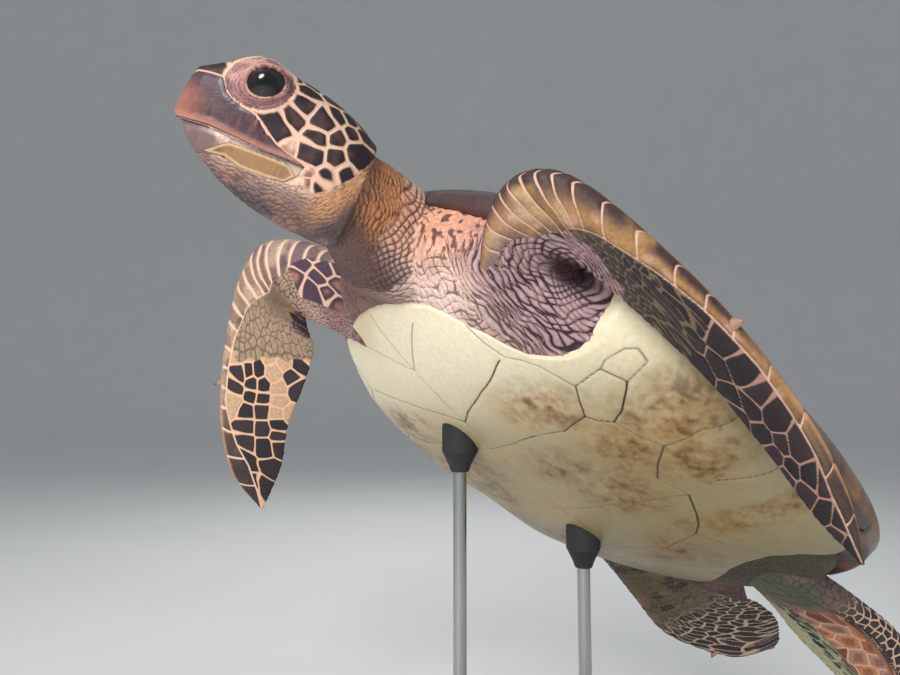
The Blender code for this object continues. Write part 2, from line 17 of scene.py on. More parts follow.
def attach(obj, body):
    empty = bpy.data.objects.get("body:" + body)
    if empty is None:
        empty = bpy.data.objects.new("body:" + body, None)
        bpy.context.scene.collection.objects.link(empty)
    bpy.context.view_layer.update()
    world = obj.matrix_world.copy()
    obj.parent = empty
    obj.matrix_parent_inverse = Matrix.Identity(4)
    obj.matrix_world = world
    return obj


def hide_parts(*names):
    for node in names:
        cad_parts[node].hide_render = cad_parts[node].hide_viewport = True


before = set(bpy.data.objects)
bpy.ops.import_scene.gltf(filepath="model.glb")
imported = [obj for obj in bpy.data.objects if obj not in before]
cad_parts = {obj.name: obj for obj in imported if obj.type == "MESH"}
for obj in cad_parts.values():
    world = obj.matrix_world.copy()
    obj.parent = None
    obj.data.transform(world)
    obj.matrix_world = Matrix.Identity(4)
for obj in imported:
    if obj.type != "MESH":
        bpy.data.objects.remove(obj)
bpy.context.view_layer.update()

# ---------------------------------------------------------------- pose and sizes, as in the solids
SHELL = 0.52  # straight length of the carapace, metres
PITCH = math.radians(40.2)
ROLL = math.radians(8.5)
LIFT = 0.385
POSE = np.array((Matrix.Rotation(-PITCH, 3, "Y") @ Matrix.Rotation(ROLL, 3, "X")))
MM = 0.001

HALF_WIDTH = 0.390
WIDEST = 0.47
DOME = 0.186
DOME_POWER_FRONT = 1.3
DOME_POWER_REAR = 1.0
BELLY = 0.091
BELLY_EDGE = 0.020  # its depth at the rim
BELLY_CHIN = 0.22  # share of the way back where its full depth starts
BELLY_DEEPEST = 0.45  # and where it ends
RIM_RISE_FRONT = 0.034
RIM_RISE_REAR = 0.047
RIM_THICKNESS = 0.018
BELLY_WIDTH_FRONT = 0.95
BELLY_WIDTH_REAR = 0.90
BELLY_POWER_FRONT = 0.42
BELLY_POWER_REAR = 0.82
FORE_END = 0.65  # share of the way back where the front part's sections end
FORE_BLEND = 0.20
GIRDLE_INSET = 0.95

HEAD_LENGTH = 0.232
HEAD_TIP = (0.760, 0.073, -0.137)
HEAD_FORWARD = (0.932, -0.154, -0.328)
HEAD_LEFT = (-0.012, 0.893, -0.451)
EYE_ALONG = 0.0873
EYE_UP = 0.0695
EYE_RADIUS = 0.028
EYE_SIDE = 0.0415

# ---------------------------------------------------------------- pitch of the fine surfaces, metres
VOXEL = 1.04 * MM


# ---------------------------------------------------------------- small helpers
def unit(vector):
    vector = np.asarray(vector, float)
    return vector / np.linalg.norm(vector)


def ramp(value, low, high):
    """0 at low, 1 at high, smooth between; low may be above high."""
    part = np.clip((np.asarray(value, float) - low) / (high - low), 0, 1)
    return part * part * (3 - 2 * part)


def bump(value, middle, width):
    """1 at the middle, falling smoothly to 0 at width from it."""
    return ramp(np.abs(np.asarray(value, float) - middle), width, 0)


def srgb(red, green, blue):
    """A screen colour from 0 to 255 as linear light."""
    share = np.array([red, green, blue]) / 255
    return np.where(share <= 0.04045, share / 12.92, ((share + 0.055) / 1.055) ** 2.4)


def mix(base, other, share):
    """Blend of two colours or colour fields by a share per point."""
    share = np.reshape(np.asarray(share, float), (-1, 1))
    return base + (other - base) * share


def smooth(stations, places):
    """Values read from a Catmull-Rom curve through the stations; places run from 0 to len - 1."""
    points = np.asarray(stations, float)
    if points.ndim == 1:
        points = points[:, None]
    padded = np.vstack([2 * points[0] - points[1], points, 2 * points[-1] - points[-2]])
    first = np.clip(np.floor(places).astype(int), 0, len(points) - 2)
    part = (places - first)[:, None]
    p0, p1, p2, p3 = (padded[first + k] for k in range(4))
    bend = 2 * p0 - 5 * p1 + 4 * p2 - p3
    twist = 3 * p1 - 3 * p2 + p3 - p0
    return p1 + 0.5 * part * (p2 - p0 + part * (bend + part * twist))


def superellipse(angle, power):
    cosine, sine = np.cos(angle), np.sin(angle)
    return np.sign(cosine) * np.abs(cosine) ** power, np.sign(sine) * np.abs(sine) ** power


def to_world(points):
    """Points of the animal's frame, in shares of SHELL, in world metres."""
    flat = np.asarray(points, float).reshape(-1, 3) * SHELL
    return (flat @ POSE.T + np.array([0, 0, LIFT])).reshape(np.shape(points))


def to_body(points):
    """World metres in the animal's frame, in shares of SHELL."""
    return (np.asarray(points, float) - np.array([0, 0, LIFT])) @ POSE / SHELL


# ---------------------------------------------------------------- random fields
def hash01(*keys):
    """A repeatable number from 0 to 1 for each set of whole-number keys."""
    mixed = np.int64(0)
    for factor, key in zip((73856093, 19349663, 83492791, 50331653), keys):
        mixed = mixed ^ (np.asarray(key).astype(np.int64) * factor)
    mixed = (mixed ^ (mixed >> 13)) * 1274126177
    return ((mixed ^ (mixed >> 16)) & 0xFFFF) / 65535.0


def noise(points, size, salt=0):
    """Smooth value noise from 0 to 1 in space; size is the distance between its lattice points."""
    place = np.asarray(points, float) / size
    cell = np.floor(place)
    part = place - cell
    part = part * part * (3 - 2 * part)
    total = np.zeros(len(place))
    for corner in range(8):
        step = np.array([corner & 1, corner >> 1 & 1, corner >> 2 & 1])
        weight = np.prod(np.where(step, part, 1 - part), axis=1)
        at = cell + step
        total += weight * hash01(at[:, 0], at[:, 1], at[:, 2], salt)
    return total


def cells(x, y, jitter=0.8, salt=0):
    """Irregular cells about one unit wide: distance to the nearest border, and each cell's number."""
    column, row = np.floor(x), np.floor(y)
    around = [(i, j) for i in (-1, 0, 1) for j in (-1, 0, 1)]

    def offset(i, j):
        at_x, at_y = column + i, row + j
        return (
            at_x + 0.5 + jitter * (hash01(at_x, at_y, salt) - 0.5) - x,
            at_y + 0.5 + jitter * (hash01(at_x, at_y, salt + 1) - 0.5) - y,
        )

    nearest = np.full(np.shape(x), 9.0)
    own_x, own_y = np.zeros_like(nearest), np.zeros_like(nearest)
    number = np.zeros_like(nearest)
    for i, j in around:
        ox, oy = offset(i, j)
        distance = ox * ox + oy * oy
        closer = distance < nearest
        nearest = np.where(closer, distance, nearest)
        own_x, own_y = np.where(closer, ox, own_x), np.where(closer, oy, own_y)
        number = np.where(closer, hash01(column + i, row + j, salt + 2), number)
    edge = np.full(np.shape(x), 9.0)
    for i, j in around:
        ox, oy = offset(i, j)
        gap = np.hypot(ox - own_x, oy - own_y)
        other = gap > 1e-6
        line = ((ox * ox - own_x * own_x) + (oy * oy - own_y * own_y)) / (2 * np.maximum(gap, 1e-6))
        edge = np.where(other, np.minimum(edge, line), edge)
    return np.maximum(edge, 0), number


def seeded_cells(points, seeds, sizes):
    """Cells round named seeds: distance to the border with the next cell, nearest seed and its distance."""
    first = np.full(len(points), 1e9)
    second = np.full(len(points), 1e9)
    index = np.zeros(len(points), int)
    for k, (seed, size) in enumerate(zip(seeds, sizes)):
        distance = np.linalg.norm(points - seed, axis=1) - size
        closer = distance < first
        second = np.where(closer, first, np.minimum(second, distance))
        index = np.where(closer, k, index)
        first = np.where(closer, distance, first)
    return (second - first) / 2, index, first


# ---------------------------------------------------------------- shell profiles, as in the solids
def shell_half_width(s):
    front = np.clip((WIDEST - s) / WIDEST, 0, 1)
    rear = np.clip((s - WIDEST) / (1 - WIDEST), 0, 1)
    return HALF_WIDTH * np.where(s < WIDEST, (1 - front**2.4) ** 0.6, (1 - rear**4.9) ** 0.86)


def rim_height(s):
    front = RIM_RISE_FRONT * np.clip(1 - s / 0.35, 0, 1) ** 2
    rear = RIM_RISE_REAR * np.clip((s - 0.6) / 0.4, 0, 1) ** 2
    return front + rear


def fore_share(s):
    """1 in the shell's front part and 0 in its rear, with a soft change between them."""
    fore = np.clip((FORE_END - s) / FORE_BLEND, 0, 1)
    return fore * fore * (3 - 2 * fore)


def dome_height(s):
    front = 1 - np.clip((0.4 - s) / 0.4, 0, 1) ** 2.3
    rear = 1 - np.clip((s - 0.4) / 0.6, 0, 1) ** 1.5
    return rim_height(s) + DOME * np.where(s < 0.4, front, rear) ** 0.8


def dome_power(s):
    """Power of the dome's section: over 1 its flanks are flatter towards the rim."""
    return DOME_POWER_REAR + (DOME_POWER_FRONT - DOME_POWER_REAR) * fore_share(s)


def belly_height(s):
    front = 1 - np.clip((BELLY_CHIN - s) / BELLY_CHIN, 0, 1) ** 4
    rear = 1 - np.clip((s - BELLY_DEEPEST) / (1 - BELLY_DEEPEST), 0, 1) ** 2.6
    return rim_height(s) - BELLY_EDGE - BELLY * np.where(s < BELLY_CHIN, front, rear) ** 0.7


def belly_section(s):
    """Half width of the belly, and the power that rounds its section: wide and boxy in front."""
    fore = fore_share(s)
    width = BELLY_WIDTH_REAR + (BELLY_WIDTH_FRONT - BELLY_WIDTH_REAR) * fore
    power = BELLY_POWER_REAR + (BELLY_POWER_FRONT - BELLY_POWER_REAR) * fore
    return width * shell_half_width(s), power


def cosine_steps(low, high, count):
    return low + (high - low) * (1 - np.cos(np.linspace(0, math.pi, count))) / 2


def belly_rings(count, around, inset=1.0, low=0.004, high=0.996):
    """The body under the carapace; an inset under 1 makes it narrower and shallower."""
    rings = []
    angles = np.linspace(0, math.pi, around)
    for s in cosine_steps(low, high, count):
        width, power = belly_section(s)
        width = width * inset
        top = rim_height(s) - RIM_THICKNESS
        across = width * np.cos(angles)
        down = top + (belly_height(s) - top) * inset * np.sin(angles) ** power
        ring_y = np.concatenate([across, np.linspace(-0.9, 0.9, 9) * width])
        ring_z = np.concatenate([down, np.full(9, top)])
        rings.append(np.stack([np.full(len(ring_y), 0.5 - s), ring_y, ring_z], axis=1))
    return np.array(rings)


# ---------------------------------------------------------------- limbs, neck and tail, as in the solids
FRONT_LEFT = {
    "leading": [
        (0.290, 0.140, -0.062), (0.345, 0.172, -0.056), (0.404, 0.228, -0.045), (0.439, 0.286, -0.032),
        (0.440, 0.345, -0.032), (0.401, 0.386, -0.033), (0.299, 0.432, -0.053), (0.191, 0.455, -0.064),
        (0.058, 0.461, -0.075), (-0.057, 0.450, -0.092), (-0.152, 0.427, -0.118),
    ],
    "trailing": [
        (0.165, 0.215, -0.030), (0.215, 0.240, -0.028), (0.268, 0.268, -0.024), (0.298, 0.292, -0.024),
        (0.306, 0.311, -0.029), (0.287, 0.326, -0.038), (0.209, 0.354, -0.052), (0.131, 0.380, -0.068),
        (0.025, 0.399, -0.092), (-0.070, 0.410, -0.112), (-0.150, 0.423, -0.119),
    ],
    "thickness": [0.050, 0.050, 0.044, 0.036, 0.030, 0.026, 0.021, 0.018, 0.014, 0.010, 0.005],
}
FRONT_RIGHT = {
    "leading": [
        (0.350, -0.080, 0.000), (0.421, -0.110, 0.020), (0.485, -0.183, 0.024), (0.547, -0.251, 0.022),
        (0.581, -0.306, -0.010), (0.563, -0.355, -0.071), (0.512, -0.399, -0.147), (0.453, -0.437, -0.218),
        (0.391, -0.473, -0.274), (0.311, -0.503, -0.321), (0.222, -0.515, -0.336),
    ],
    "trailing": [
        (0.300, -0.130, -0.080), (0.355, -0.130, -0.095), (0.394, -0.170, -0.092), (0.430, -0.218, -0.086),
        (0.440, -0.248, -0.080), (0.418, -0.268, -0.085), (0.384, -0.288, -0.098), (0.347, -0.335, -0.148),
        (0.310, -0.392, -0.206), (0.259, -0.445, -0.262), (0.217, -0.512, -0.335),
    ],
    "thickness": [0.045, 0.045, 0.042, 0.036, 0.030, 0.026, 0.021, 0.018, 0.014, 0.010, 0.005],
}
REAR_LEFT = {
    "leading": [
        (-0.300, 0.235, -0.025), (-0.390, 0.240, -0.018), (-0.480, 0.252, 0.000), (-0.580, 0.262, 0.010),
        (-0.680, 0.257, -0.008), (-0.770, 0.245, -0.036), (-0.832, 0.215, -0.070),
    ],
    "trailing": [
        (-0.290, 0.115, -0.035), (-0.365, 0.118, -0.035), (-0.440, 0.126, -0.040), (-0.520, 0.136, -0.056),
        (-0.615, 0.150, -0.065), (-0.720, 0.172, -0.077), (-0.825, 0.203, -0.078),
    ],
    "thickness": [0.040, 0.038, 0.030, 0.021, 0.014, 0.010, 0.005],
}
REAR_RIGHT = {
    "leading": [
        (-0.290, -0.215, -0.015), (-0.380, -0.208, -0.032), (-0.480, -0.203, -0.055), (-0.580, -0.197, -0.072),
        (-0.680, -0.178, -0.054), (-0.770, -0.148, -0.020), (-0.835, -0.112, 0.045),
    ],
    "trailing": [
        (-0.330, -0.085, -0.010), (-0.430, -0.075, 0.005), (-0.520, -0.068, 0.025), (-0.610, -0.070, 0.050),
        (-0.700, -0.077, 0.082), (-0.780, -0.082, 0.090), (-0.835, -0.100, 0.068),
    ],
    "thickness": [0.040, 0.038, 0.030, 0.021, 0.014, 0.010, 0.005],
}
NECK = {
    "leading": [
        (0.300, 0.000, 0.070), (0.400, 0.015, 0.067), (0.470, 0.060, 0.052), (0.522, 0.097, 0.028),
        (0.567, 0.120, -0.003), (0.607, 0.131, -0.026),
    ],
    "trailing": [
        (0.300, 0.000, -0.068), (0.385, 0.003, -0.079), (0.440, 0.026, -0.106), (0.490, 0.054, -0.113),
        (0.530, 0.077, -0.115), (0.570, 0.088, -0.121),
    ],
    "thickness": [0.150, 0.122, 0.085, 0.062, 0.053, 0.051],
}
TAIL = {
    "leading": [(-0.30, 0.0, 0.020), (-0.42, 0.0, 0.030), (-0.49, 0.0, 0.030), (-0.545, 0.0, 0.015)],
    "trailing": [(-0.30, 0.0, -0.060), (-0.40, 0.0, -0.045), (-0.48, 0.0, -0.020), (-0.548, 0.0, 0.004)],
    "thickness": [0.075, 0.050, 0.028, 0.006],
}
CLAW_PLACE = 0.69
REAR_CLAW_PLACE = 0.74


def limb_frames(limb, shares):
    """Middle, half chord and unit normal of the limb's sections, and their half thicknesses."""
    last = len(limb["leading"]) - 1
    places = np.asarray(shares, float) * last
    leading = smooth(limb["leading"], places)
    trailing = smooth(limb["trailing"], places)
    thickness = smooth(limb["thickness"], places)[:, 0]
    middle = (leading + trailing) / 2
    chord = (leading - trailing) / 2
    step = 0.02 * last
    ahead, behind = (
        smooth(limb["leading"], np.clip(places + way, 0, last))
        + smooth(limb["trailing"], np.clip(places + way, 0, last))
        for way in (step, -step)
    )
    normal = np.cross(ahead - behind, chord)
    normal /= np.linalg.norm(normal, axis=1)[:, None]
    return middle, chord, normal, thickness


def limb_rings(limb, count, around, inner_taper, outer_taper, start=0.0):
    """Rings of an aerofoil section; taper is how much thinner the trailing edge is."""
    shares = np.linspace(start, 1, count)
    middle, chord, normal, thickness = limb_frames(limb, shares)
    cosine, sine = superellipse(np.arange(around) * 2 * math.pi / around, 0.9)
    taper = (inner_taper + (outer_taper - inner_taper) * ramp(shares, 0.35, 0.55))[:, None]
    fullness = (1 - taper / 2) + taper / 2 * cosine
    out = (thickness[:, None] * sine * fullness)[..., None]
    return middle[:, None] + chord[:, None] * cosine[None, :, None] + normal[:, None] * out


# ---------------------------------------------------------------- head, as in the solids
HEAD_PLACES = [0.0, 0.03, 0.08, 0.16, 0.26, 0.36, 0.46, 0.58, 0.72, 0.86, 1.0]
HEAD_TOP = [0.026, 0.059, 0.068, 0.078, 0.088, 0.096, 0.098, 0.098, 0.094, 0.085, 0.070]
HEAD_BOTTOM = [0.004, -0.004, -0.015, -0.031, -0.044, -0.055, -0.063, -0.069, -0.073, -0.074, -0.073]
HEAD_HALF_WIDTH = [0.006, 0.020, 0.031, 0.041, 0.049, 0.055, 0.061, 0.067, 0.071, 0.070, 0.062]
ORBIT_BULGE = 0.012
ORBIT_SPREAD = 0.032
BROW_ALONG = 0.068
BROW_RISE = 0.0145
BROW_SPREAD = 0.030
BROW_AT_CROWN = 0.4  # share of the brow's rise that is left on the middle line
ROOF_POWER = 0.55  # superellipse power of the roof's corners at the snout
ROOF_ROUNDING = 0.20  # what it gains towards the back of the head
JAW_POWER = 0.92
WAIST_SHARE = 0.50  # height of the widest line between jaw and roof
UPPER_BEAK = [  # outline on the side of the head, from the mouth's corner forward and up
    (0.160, 0.0006), (0.139, 0.0055), (0.120, 0.012), (0.100, 0.0255), (0.088, 0.032), (0.074, 0.034),
    (0.060, 0.0375), (0.049, 0.043), (0.039, 0.0575), (0.026, 0.0570), (0.010, 0.0550), (0.002, 0.0450),
    (-0.03, 0.0450), (-0.03, 0.0006),
]
LOWER_BEAK = [
    (0.160, -0.0006), (-0.03, -0.0006), (-0.03, -0.060), (0.043, -0.031), (0.072, -0.025), (0.091, -0.030),
    (0.125, -0.0285), (0.146, -0.025), (0.157, -0.013),
]


def head_axes():
    forward = unit(HEAD_FORWARD)
    left = unit(np.asarray(HEAD_LEFT) - np.dot(HEAD_LEFT, forward) * forward)
    return np.stack([forward, left, np.cross(forward, left)], axis=1)


HEAD_AXES = head_axes()


def head_to_body(points):
    """Points of the head's frame: back along the head from its tip, left, and up from the mouth."""
    flat = np.asarray(points, float).reshape(-1, 3) * np.array([-1, 1, 1])
    return (flat @ HEAD_AXES.T + np.array(HEAD_TIP)).reshape(np.shape(points))


def body_to_head(points):
    return (np.asarray(points) - np.array(HEAD_TIP)) @ HEAD_AXES * np.array([-1, 1, 1])


def head_rings(count, around):
    """Sections with a broad flat roof, a rounder jaw and a swelling round each eye."""
    shares = np.linspace(0, 1, count) ** 1.5
    places = np.interp(shares, HEAD_PLACES, np.arange(len(HEAD_PLACES)))
    top = smooth(HEAD_TOP, places)[:, 0]
    bottom = smooth(HEAD_BOTTOM, places)[:, 0]
    width = smooth(HEAD_HALF_WIDTH, places)[:, 0]
    angles = np.arange(around) * 2 * math.pi / around
    roof = ROOF_POWER + ROOF_ROUNDING * np.clip((shares - 0.45) / 0.4, 0, 1)[:, None]
    cosine, sine = superellipse(angles, np.where(np.sin(angles) > 0, roof, JAW_POWER))
    waist = bottom + WAIST_SHARE * (top - bottom)
    reach = np.where(sine > 0, (top - waist)[:, None], (waist - bottom)[:, None])
    along = np.repeat((shares * HEAD_LENGTH)[:, None], around, axis=1)
    side = width[:, None] * cosine
    up = waist[:, None] + reach * sine
    off_eye = np.hypot(along - EYE_ALONG, up - EYE_UP)
    swell = ORBIT_BULGE * np.exp(-((off_eye / ORBIT_SPREAD) ** 2)) * np.abs(cosine) ** 0.5
    brow = BROW_RISE * np.exp(-(((along - BROW_ALONG) / BROW_SPREAD) ** 2))
    brow = brow * (BROW_AT_CROWN + (1 - BROW_AT_CROWN) * np.abs(cosine) ** 0.5)
    up = up + brow * np.clip(sine, 0, 1) ** 2
    return np.stack([along, side + np.sign(side) * swell, up], axis=-1)


# ---------------------------------------------------------------- meshes from grids
def closed_grid(rings):
    """Points and faces of closed rings with both ends filled."""
    rings = np.asarray(rings, float)
    count, around = rings.shape[:2]
    points = np.vstack([rings.reshape(-1, 3), rings[0].mean(axis=0), rings[-1].mean(axis=0)])
    row = np.arange(count - 1)[:, None] * around
    col = np.arange(around)
    after = (col + 1) % around
    quads = np.stack([row + col, row + after, row + around + after, row + around + col], axis=-1)
    caps = [[after[k], col[k], count * around] for k in col]
    last = (count - 1) * around
    caps += [[last + col[k], last + after[k], count * around + 1] for k in col]
    return points, quads.reshape(-1, 4).tolist() + caps


def mesh_from(name, points, faces):
    mesh = bpy.data.meshes.new(name)
    mesh.from_pydata(np.asarray(points).tolist(), [], [list(f) for f in faces])
    work = bmesh.new()
    work.from_mesh(mesh)
    bmesh.ops.remove_doubles(work, verts=work.verts, dist=1e-6)
    bmesh.ops.recalc_face_normals(work, faces=work.faces)
    if work.calc_volume(signed=True) < 0:
        bmesh.ops.reverse_faces(work, faces=work.faces)
    work.to_mesh(mesh)
    work.free()
    return mesh


def piece(name, mesh, material):
    """A shown piece of the model that rides on its one body."""
    obj = bpy.data.objects.new(name, mesh)
    bpy.context.scene.collection.objects.link(obj)
    mesh.materials.clear()
    mesh.materials.append(material)
    mesh.shade_smooth()
    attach(obj, "root")
    return obj


def points_of(mesh):
    points = np.zeros(len(mesh.vertices) * 3, np.float32)
    mesh.vertices.foreach_get("co", points)
    return points.reshape(-1, 3).astype(float)


def set_points(mesh, points):
    mesh.vertices.foreach_set("co", np.asarray(points, np.float32).ravel())
    mesh.update()


def normals_of(mesh):
    normals = np.zeros(len(mesh.vertices) * 3, np.float32)
    mesh.vertex_normals.foreach_get("vector", normals)
    return normals.reshape(-1, 3).astype(float)


def edges_of(mesh):
    edges = np.zeros(len(mesh.edges) * 2, np.int32)
    mesh.edges.foreach_get("vertices", edges)
    return edges.reshape(-1, 2)


def relax(points, edges, rounds, amount):
    """Moves each point towards the middle of its neighbours, by an amount per point."""
    count = len(points)
    ends = np.concatenate([edges[:, 0], edges[:, 1]])
    others = np.concatenate([edges[:, 1], edges[:, 0]])
    share = 1.0 / np.maximum(np.bincount(ends, minlength=count), 1)
    for _ in range(rounds):
        middle = np.stack(
            [np.bincount(ends, weights=points[others, k], minlength=count) * share for k in range(3)], axis=1
        )
        points = points + (middle - points) * amount
    return points


def add_field(mesh, name, values):
    mesh.attributes.new(name, "FLOAT", "POINT").data.foreach_set("value", np.asarray(values, np.float32))


def add_colour(mesh, name, values):
    colour = np.ones((len(values), 4), np.float32)
    colour[:, :3] = np.clip(values, 0, 1)
    mesh.attributes.new(name, "FLOAT_COLOR", "POINT").data.foreach_set("color", colour.ravel())


# ---------------------------------------------------------------- flesh: lofts, one skin and its coordinates
REGIONS = ("front_left", "front_right", "rear_left", "rear_right", "neck", "head", "shoulders", "hips", "tail")
LIMBS = {
    "front_left": (FRONT_LEFT, 0.55, 0.75, 0.0),
    "front_right": (FRONT_RIGHT, 0.55, 0.75, 0.0),
    "rear_left": (REAR_LEFT, 0.55, 0.75, 0.0),
    "rear_right": (REAR_RIGHT, 0.55, 0.75, 0.0),
    "neck": (NECK, 0.0, 0.0, 0.05),
    "tail": (TAIL, 0.0, 0.0, 0.0),
}


def limb_fields(rings, start):
    """For each point of a limb: share along it, metres along it, metres round from its leading edge,
    half the way round, and which side of the limb it's on."""
    count, around = rings.shape[:2]
    shares = np.linspace(start, 1, count)
    middle = rings.mean(axis=1) * SHELL
    along = np.concatenate([[0], np.cumsum(np.linalg.norm(np.diff(middle, axis=0), axis=1))])
    closed = np.concatenate([rings, rings[:, :1]], axis=1) * SHELL
    steps = np.linalg.norm(np.diff(closed, axis=1), axis=2)
    way = np.concatenate([np.zeros((count, 1)), np.cumsum(steps, axis=1)], axis=1)
    whole = way[:, -1:]
    round_ = np.minimum(way, whole - way)
    side = np.sin(np.arange(around + 1) * 2 * math.pi / around)[None].repeat(count, axis=0)
    spread = np.ones((1, around + 1))
    return np.stack([shares[:, None] * spread, along[:, None] * spread, round_, whole / 2 * spread, side], axis=-1)


def flesh_lofts():
    """Every closed loft of the flesh with its fields."""
    fine = 1.0
    lofts = {}
    for name, (limb, inner, outer, start) in LIMBS.items():
        rings = limb_rings(limb, int(200 * fine), int(160 * fine), inner, outer, start)
        lofts[name] = (rings, limb_fields(rings, start))
    head = head_to_body(head_rings(int(180 * fine), int(220 * fine)))
    lofts["head"] = (head, np.zeros((len(head), head.shape[1] + 1, 5)))
    body = belly_rings(int(160 * fine), int(140 * fine), GIRDLE_INSET)
    for name, keep in (("shoulders", body[:, 0, 0] > 0.1), ("hips", body[:, 0, 0] < -0.15)):
        rings = body[keep]
        lofts[name] = (rings, np.zeros((len(rings), rings.shape[1] + 1, 5)))
    return lofts


def fused_skin(lofts):
    """One closed mesh round all the lofts, with even faces."""
    work = bmesh.new()
    for rings, _ in lofts.values():
        points, faces = closed_grid(to_world(rings))
        part = mesh_from("loft", points, faces)
        work.from_mesh(part)
        bpy.data.meshes.remove(part)
    mesh = bpy.data.meshes.new("flesh")
    work.to_mesh(mesh)
    work.free()
    holder = bpy.data.objects.new("flesh", mesh)
    bpy.context.scene.collection.objects.link(holder)
    modifier = holder.modifiers.new("fuse", "REMESH")
    modifier.mode = "VOXEL"
    modifier.voxel_size = VOXEL
    seen = holder.evaluated_get(bpy.context.evaluated_depsgraph_get())
    skin = bpy.data.meshes.new_from_object(seen)
    bpy.data.objects.remove(holder)
    skin.name = "skin"
    return skin


def loft_map(lofts, points):
    """Which region each point is on, and that region's fields there."""
    vertices, triangles, owners, fields, offset = [], [], [], [], 0
    for number, name in enumerate(REGIONS):
        rings, values = lofts[name]
        closed = np.concatenate([rings, rings[:, :1]], axis=1)
        count, around = closed.shape[:2]
        index = offset + np.arange(count * around).reshape(count, around)
        a, b, c, d = index[:-1, :-1], index[:-1, 1:], index[1:, 1:], index[1:, :-1]
        both = np.concatenate([np.stack([a, b, c], -1).reshape(-1, 3), np.stack([a, c, d], -1).reshape(-1, 3)])
        vertices.append(to_world(closed).reshape(-1, 3))
        fields.append(values.reshape(-1, 5))
        triangles.append(both)
        owners.append(np.full(len(both), number))
        offset += count * around
    vertices, fields = np.vstack(vertices), np.vstack(fields)
    triangles, owners = np.vstack(triangles), np.concatenate(owners)
    tree = BVHTree.FromPolygons(vertices.tolist(), triangles.tolist(), all_triangles=True)
    found = [tree.find_nearest(point) for point in points.tolist()]
    near = np.array([hit[0] for hit in found])
    face = np.array([hit[2] for hit in found])
    corners = vertices[triangles[face]]
    weights = barycentric(near, corners)
    values = np.einsum("nk,nkf->nf", weights, fields[triangles[face]])
    return owners[face], values


def barycentric(points, corners):
    first, second, to_point = corners[:, 1] - corners[:, 0], corners[:, 2] - corners[:, 0], points - corners[:, 0]
    aa, ab, bb = (first * first).sum(1), (first * second).sum(1), (second * second).sum(1)
    pa, pb = (to_point * first).sum(1), (to_point * second).sum(1)
    scale = np.maximum(aa * bb - ab * ab, 1e-24)
    v, w = (bb * pa - ab * pb) / scale, (aa * pb - ab * pa) / scale
    return np.clip(np.stack([1 - v - w, v, w], axis=1), 0, 1)


# ---------------------------------------------------------------- looks of the skin, region by region
class Looks:
    """What the skin is like at each point: relief in millimetres, its colour, the distance in
    millimetres to the nearest line between scales or folds, that line's half width and its colour."""

    def __init__(self, count):
        self.relief = np.zeros(count)
        self.tint = np.tile(srgb(176, 142, 122), (count, 1))
        self.line = np.full(count, 20.0)
        self.half = np.full(count, 0.8)
        self.line_tint = np.tile(srgb(70, 48, 48), (count, 1))

    def paint(self, where, relief, tint, line, half, line_tint):
        self.relief[where] = relief
        self.tint[where] = tint
        self.line[where] = line
        self.half[where] = half
        self.line_tint[where] = line_tint


# Inner border of the row of large scutes on a front limb's leading edge: share along, share round.
LEAD_PLACES = [0.0, 0.15, 0.25, 0.35, 0.45, 0.53, 0.60, 0.66, 0.73, 0.78, 0.83, 0.88, 1.0]
LEAD_WIDTHS = [0.10, 0.23, 0.29, 0.50, 0.51, 0.28, 0.17, 0.13, 0.12, 0.18, 0.25, 0.38, 0.5]
LEAD_SEAMS = [
    0.15, 0.20, 0.235, 0.27, 0.305, 0.34, 0.375, 0.41, 0.45, 0.49, 0.53, 0.57, 0.615, 0.655, 0.695,
    0.74, 0.79, 0.85, 0.92,
]


def row_of_scutes(share, along, way, half_way, widths, seams, slant):
    """Distance in millimetres to the lines of the leading row, whether a point is in it, its number."""
    inner = np.interp(share, widths[0], widths[1]) * half_way
    order = np.argsort(share)
    length_at = np.interp(seams, share[order], along[order])
    moved = along - slant * way
    gaps = np.abs(moved[:, None] - length_at[None]) / MM
    number = np.searchsorted(length_at, moved)
    inside = way < inner
    border = np.abs(inner - way) / MM + 9 * ramp(share, 0.42, 0.30)
    line = np.where(inside, np.minimum(gaps.min(axis=1), border), border)
    return line, inside, number


def net_scales(along, way, size, stretch, jitter, salt):
    """Small scales of a size in metres that may vary; their line distance in millimetres and numbers."""
    edge, number = cells(along / size / stretch, way / size, jitter, salt)
    return edge * size / MM, number


def shade_of(number, colours):
    """A colour per cell, picked from a few by the cell's number."""
    pick = np.minimum((number * len(colours)).astype(int), len(colours) - 1)
    return np.array(colours)[pick]


